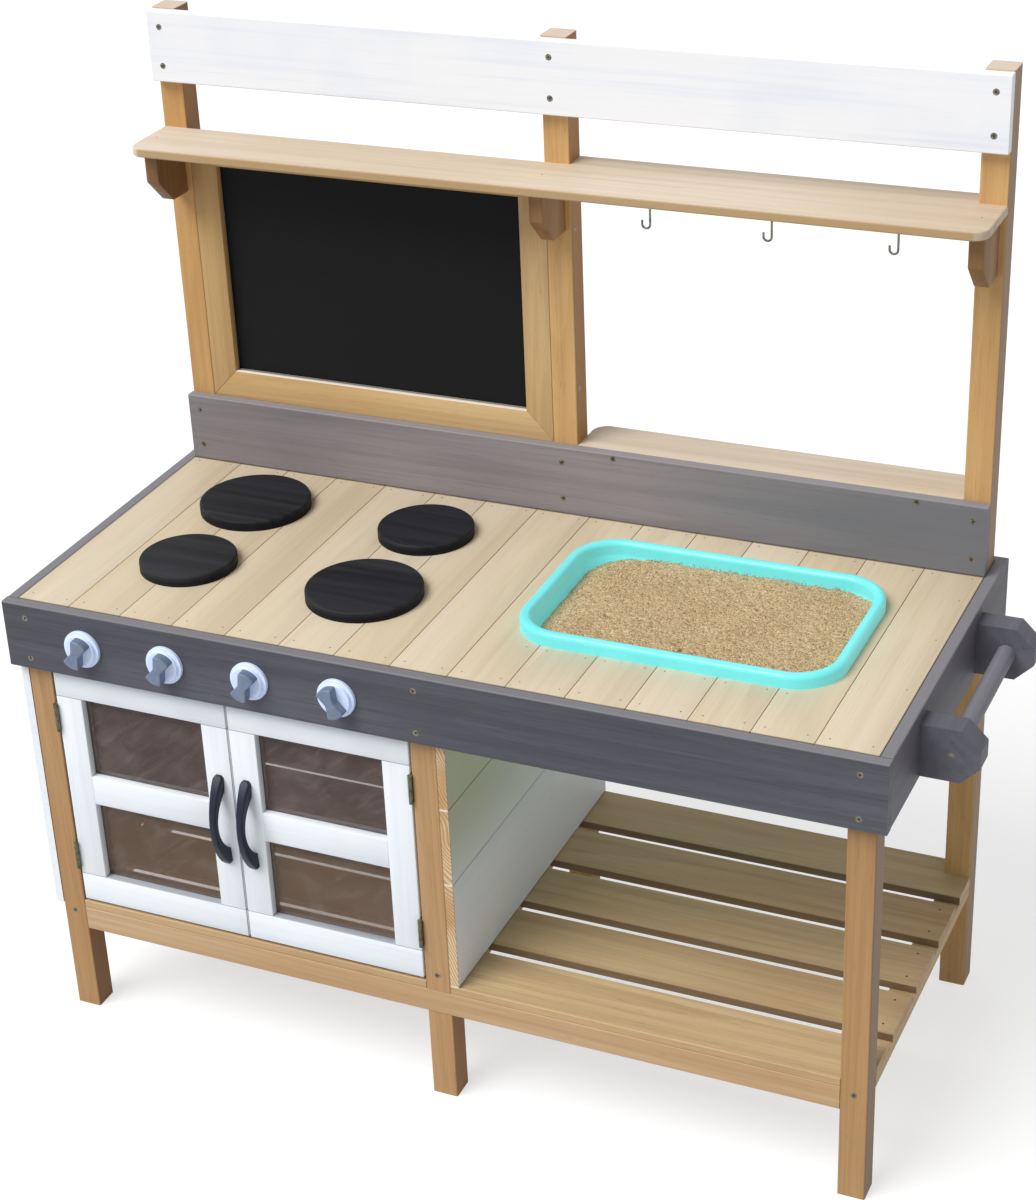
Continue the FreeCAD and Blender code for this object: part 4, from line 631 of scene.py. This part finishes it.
def drives(name, places, turn):
    """Star-shaped dark marks, painted shade for the screws' drive recesses, that stand just proud of the
    heads of the screws.
    """
    shape = bmesh.new()
    for place in places:
        made = bmesh.ops.create_circle(shape, cap_ends=True, segments=12, radius=1.9 * MM)
        bmesh.ops.scale(shape, vec=(0.5, 0.5, 1.0), verts=made["verts"][::2])
        bmesh.ops.transform(shape, matrix=Matrix.Translation(place) @ turn.to_4x4(), verts=made["verts"])
    bmesh.ops.solidify(shape, geom=shape.faces[:], thickness=0.1 * MM)
    return settle(shape, name, recess_shade, "carcass")


FACING_FRONT = Matrix.Rotation(math.radians(90), 3, "X")
PROUD = 0.03
APRON_ROWS = (531.5, 481.5)
UPPER_BOARD_ROWS = (1076.3, 1032.3, 612.0, 567.0)
LEDGE_SCREWS, LEDGE_SCREW_ROW = (562, 910), 625
LEG_SCREW_ROWS = (135.5, 164, 135.5)
front_screws = [at(across, -PROUD, up) for across in LEG_COLUMNS for up in APRON_ROWS]
front_screws += [at(across, SPLASH_FRONT - PROUD, up) for across in LEG_COLUMNS for up in UPPER_BOARD_ROWS]
front_screws += [at(across, SPLASH_FRONT - PROUD, LEDGE_SCREW_ROW) for across in LEDGE_SCREWS]
front_screws += [at(across, INSIDE - PROUD, up) for across, up in zip(LEG_COLUMNS, LEG_SCREW_ROWS)]
drives("screw_recesses", front_screws, FACING_FRONT)


SAND_CORNER = 42 * MM
CORNER_CUTS = (10, 28, 45, 62, 80)
SLOPE_REACH, SLOPE_DROP = 0.075, 11.0
WALL_LEAN = 0.25
REAR_RISE = 1.6
UNDERSIDE, UNDERSIDE_DROP = (0.87, 0.82, 1.0), 40 * MM
RIPPLES = ((22.0, 1.5), (90.0, 1.3), (300.0, 1.2))


def raked(place):
    """Height of the ridges, lumps and grains of the sand at a place, in millimetres."""
    return sum(noise.noise(place * pace) * rise for pace, rise in RIPPLES)


def sand_surface():
    """Fill with a raked, grainy top that falls away towards the left wall."""
    low = at(568.1, 116.2, 492)
    high = at(898.9, 326.7, 545.2)
    middle = (low + high) / 2
    shape = bmesh.new()
    bmesh.ops.create_grid(shape, x_segments=180, y_segments=115, size=0.5)
    bmesh.ops.scale(shape, vec=(high.x - low.x, high.y - low.y, 1.0), verts=shape.verts)
    bmesh.ops.translate(shape, vec=(middle.x, middle.y, high.z), verts=shape.verts)
    for side, end in ((-1, -1), (1, -1), (1, 1), (-1, 1)):
        centre = Vector((middle.x + side * ((high.x - low.x) / 2 - SAND_CORNER),
                         middle.y + end * ((high.y - low.y) / 2 - SAND_CORNER), high.z))
        for turn in CORNER_CUTS:
            away = Vector((side * math.cos(math.radians(turn)), end * math.sin(math.radians(turn)), 0.0))
            bmesh.ops.bisect_plane(shape, geom=shape.verts[:] + shape.edges[:] + shape.faces[:],
                                   dist=0.001 * MM, plane_co=centre + away * SAND_CORNER, plane_no=away,
                                   clear_outer=True)
    rim = [edge for edge in shape.edges if len(edge.link_faces) == 1]
    for vert in shape.verts:
        place = vert.co.copy()
        near = max(0.0, 1.0 - (place.x - low.x) / SLOPE_REACH)
        lower = SLOPE_DROP * near * near
        higher = REAR_RISE * (place.y - low.y) / (high.y - low.y)
        inward = WALL_LEAN * lower * MM
        vert.co.x += inward
        vert.co.y += inward * (middle.y - place.y) / (middle.y - low.y)
        vert.co.z += (raked(place) + higher - lower) * MM
    skirt = bmesh.ops.extrude_edge_only(shape, edges=rim)["geom"]
    lowered = [piece for piece in skirt if isinstance(piece, bmesh.types.BMVert)]
    bmesh.ops.scale(shape, vec=UNDERSIDE, verts=lowered, space=Matrix.Translation(-middle))
    bmesh.ops.translate(shape, vec=(0.0, 0.0, -UNDERSIDE_DROP), verts=lowered)
    bmesh.ops.holes_fill(shape, edges=[edge for edge in shape.edges if len(edge.link_faces) == 1])
    return settle(shape, "sand_surface", sand, "lift_out_tray", ("sand_fill",), 180.0)


def light_seam():
    """Strip of light between two boards of the left wall, seen from inside."""
    width, length = 2.0 * MM, 0.395
    shape = bmesh.new()
    bmesh.ops.create_grid(shape, x_segments=1, y_segments=1, size=0.5)
    bmesh.ops.scale(shape, vec=(width, length, 1.0), verts=shape.verts)
    bmesh.ops.transform(shape, verts=shape.verts, matrix=Matrix.Translation(at(INSIDE + 0.06, 228, 277.8))
                        @ Matrix.Rotation(math.radians(90), 4, "Y"))
    bmesh.ops.solidify(shape, geom=shape.faces[:], thickness=0.05 * MM)
    return settle(shape, "light_seam", cream, "carcass")


def stray_grains():
    """Loose grains on the rear wall of the tray just above the fill."""
    wall, fill_height, grains = 326.0, 546.5, 260
    chance = random.Random(11)
    shape = bmesh.new()
    for _ in range(grains):
        across = chance.uniform(640, 868)
        height = fill_height + abs(chance.gauss(0.0, 1.6))
        size = chance.uniform(0.35, 0.8) * MM
        flattened = Matrix.Scale(chance.uniform(0.5, 1.0), 4, (0, 0, 1))
        bmesh.ops.create_icosphere(shape, subdivisions=1, radius=size,
                                   matrix=Matrix.Translation(at(across, wall, height)) @ flattened)
    return settle(shape, "stray_grains", sand, "lift_out_tray")


apron_pins = [at(across, -0.05, up) for across, up in ((258.3, 474.7), (258.3, 479.0), (438, 475.2))]
heads("apron_pins", apron_pins, 0.9 * MM, 0.2 * MM, zinc, "carcass", FACING_FRONT)
sand_surface()
stray_grains()
light_seam()

DOT_REACH = 12.0
for turn in range(1, 5):
    lean = math.radians(25 if turn < 4 else -25)
    across = FIRST_KNOB + KNOB_STEP * (turn - 1)
    spot = at(across - DOT_REACH * math.sin(lean), GRIP_FACE, KNOB_HEIGHT - DOT_REACH * math.cos(lean))
    heads("knob_%d_dot" % turn, [spot], 1.0 * MM, 0.1 * MM, grip_mark, "knob_%d" % turn,
          FACING_FRONT)

# ---------------------------------------------------------------- camera, light and floor

CAMERA_PLACE = (1.00408, -2.20853, 1.81178)
PITCH, YAW, ROLL = -0.5037, -0.4582, -0.0570
FOCAL_PIXELS = 2518.886
IMAGE_WIDTH, IMAGE_HEIGHT = 1036, 1200
PRINCIPAL_ACROSS, PRINCIPAL_DOWN = 461.34, 646.35


def camera():
    """Camera at the photograph's place, turned by its pitch, yaw and roll."""
    lens = bpy.data.cameras.new("view")
    item = bpy.data.objects.new("view", lens)
    bpy.context.scene.collection.objects.link(item)
    forward = Vector((math.sin(YAW) * math.cos(PITCH), math.cos(YAW) * math.cos(PITCH), math.sin(PITCH)))
    right = Vector((math.cos(YAW), -math.sin(YAW), 0.0))
    up = right.cross(forward)
    across = right * math.cos(ROLL) + up * math.sin(ROLL)
    over = up * math.cos(ROLL) - right * math.sin(ROLL)
    turn = Matrix((across, over, -forward)).transposed().to_4x4()
    item.matrix_world = Matrix.Translation(CAMERA_PLACE) @ turn
    lens.sensor_width = 36.0
    lens.lens = FOCAL_PIXELS / IMAGE_HEIGHT * lens.sensor_width
    lens.shift_x = (IMAGE_WIDTH / 2 - PRINCIPAL_ACROSS) / IMAGE_HEIGHT
    lens.shift_y = (PRINCIPAL_DOWN - IMAGE_HEIGHT / 2) / IMAGE_HEIGHT
    lens.clip_end = 50.0
    bpy.context.scene.camera = item


def seen_directly(tree):
    """One where a ray comes from the camera, a reflection or through a pane, and zero elsewhere."""
    path = tree.nodes.new("ShaderNodeLightPath")
    total = path.outputs["Is Camera Ray"]
    for name in ("Is Glossy Ray", "Is Transmission Ray"):
        add = tree.nodes.new("ShaderNodeMath")
        add.operation = "MAXIMUM"
        tree.links.new(total, add.inputs[0])
        tree.links.new(path.outputs[name], add.inputs[1])
        total = add.outputs[0]
    return total


def light(sky_level, sun_level, sun_from, spread):
    """Even white surroundings and one broad lamp from a direction."""
    world = bpy.data.worlds.new("studio")
    bpy.context.scene.world = world
    world.use_nodes = True
    tree = world.node_tree
    sky = tree.nodes["Background"]
    sky.inputs["Color"].default_value = (1.0, 1.0, 1.0, 1.0)
    level = tree.nodes.new("ShaderNodeMapRange")
    tree.links.new(seen_directly(tree), level.inputs["Value"])
    level.inputs["To Min"].default_value = sky_level
    level.inputs["To Max"].default_value = 1.0
    tree.links.new(level.outputs[0], sky.inputs["Strength"])
    lamp = bpy.data.lights.new("window", "SUN")
    lamp.energy = sun_level
    lamp.angle = spread
    item = bpy.data.objects.new("window", lamp)
    bpy.context.scene.collection.objects.link(item)
    item.rotation_euler = Vector(sun_from).to_track_quat("Z", "Y").to_euler()


FLOOR_GREY, SHADOWED_GREY, FLOOR_GLOW = 0.55, 0.42, 0.64


def floor():
    """Pale floor that looks white and still takes the kitchen's shadow."""
    shape = bmesh.new()
    bmesh.ops.create_circle(shape, cap_ends=True, segments=64, radius=12.0)
    mesh = bpy.data.meshes.new("floor")
    shape.to_mesh(mesh)
    shape.free()
    item = bpy.data.objects.new("floor", mesh)
    bpy.context.scene.collection.objects.link(item)
    material = bpy.data.materials.new("pale_floor")
    material.use_nodes = True
    tree = material.node_tree
    paper = tree.nodes["Principled BSDF"]
    paper.inputs["Base Color"].default_value = (FLOOR_GREY, FLOOR_GREY, FLOOR_GREY, 1.0)
    paper.inputs["Roughness"].default_value = 0.95
    seen = tree.nodes.new("ShaderNodeBsdfDiffuse")
    seen.inputs["Color"].default_value = (SHADOWED_GREY, SHADOWED_GREY, SHADOWED_GREY, 1.0)
    glow = tree.nodes.new("ShaderNodeEmission")
    glow.inputs["Strength"].default_value = FLOOR_GLOW
    both = tree.nodes.new("ShaderNodeAddShader")
    tree.links.new(seen.outputs[0], both.inputs[0])
    tree.links.new(glow.outputs[0], both.inputs[1])
    choice = tree.nodes.new("ShaderNodeMixShader")
    tree.links.new(seen_directly(tree), choice.inputs[0])
    tree.links.new(paper.outputs[0], choice.inputs[1])
    tree.links.new(both.outputs[0], choice.inputs[2])
    tree.links.new(choice.outputs[0], tree.nodes["Material Output"].inputs["Surface"])
    mesh.materials.append(material)


camera()
light(sky_level=0.40, sun_level=2.7, sun_from=(-0.35, -0.50, 0.79), spread=math.radians(38))
floor()

bpy.context.scene.view_settings.view_transform = "Standard"
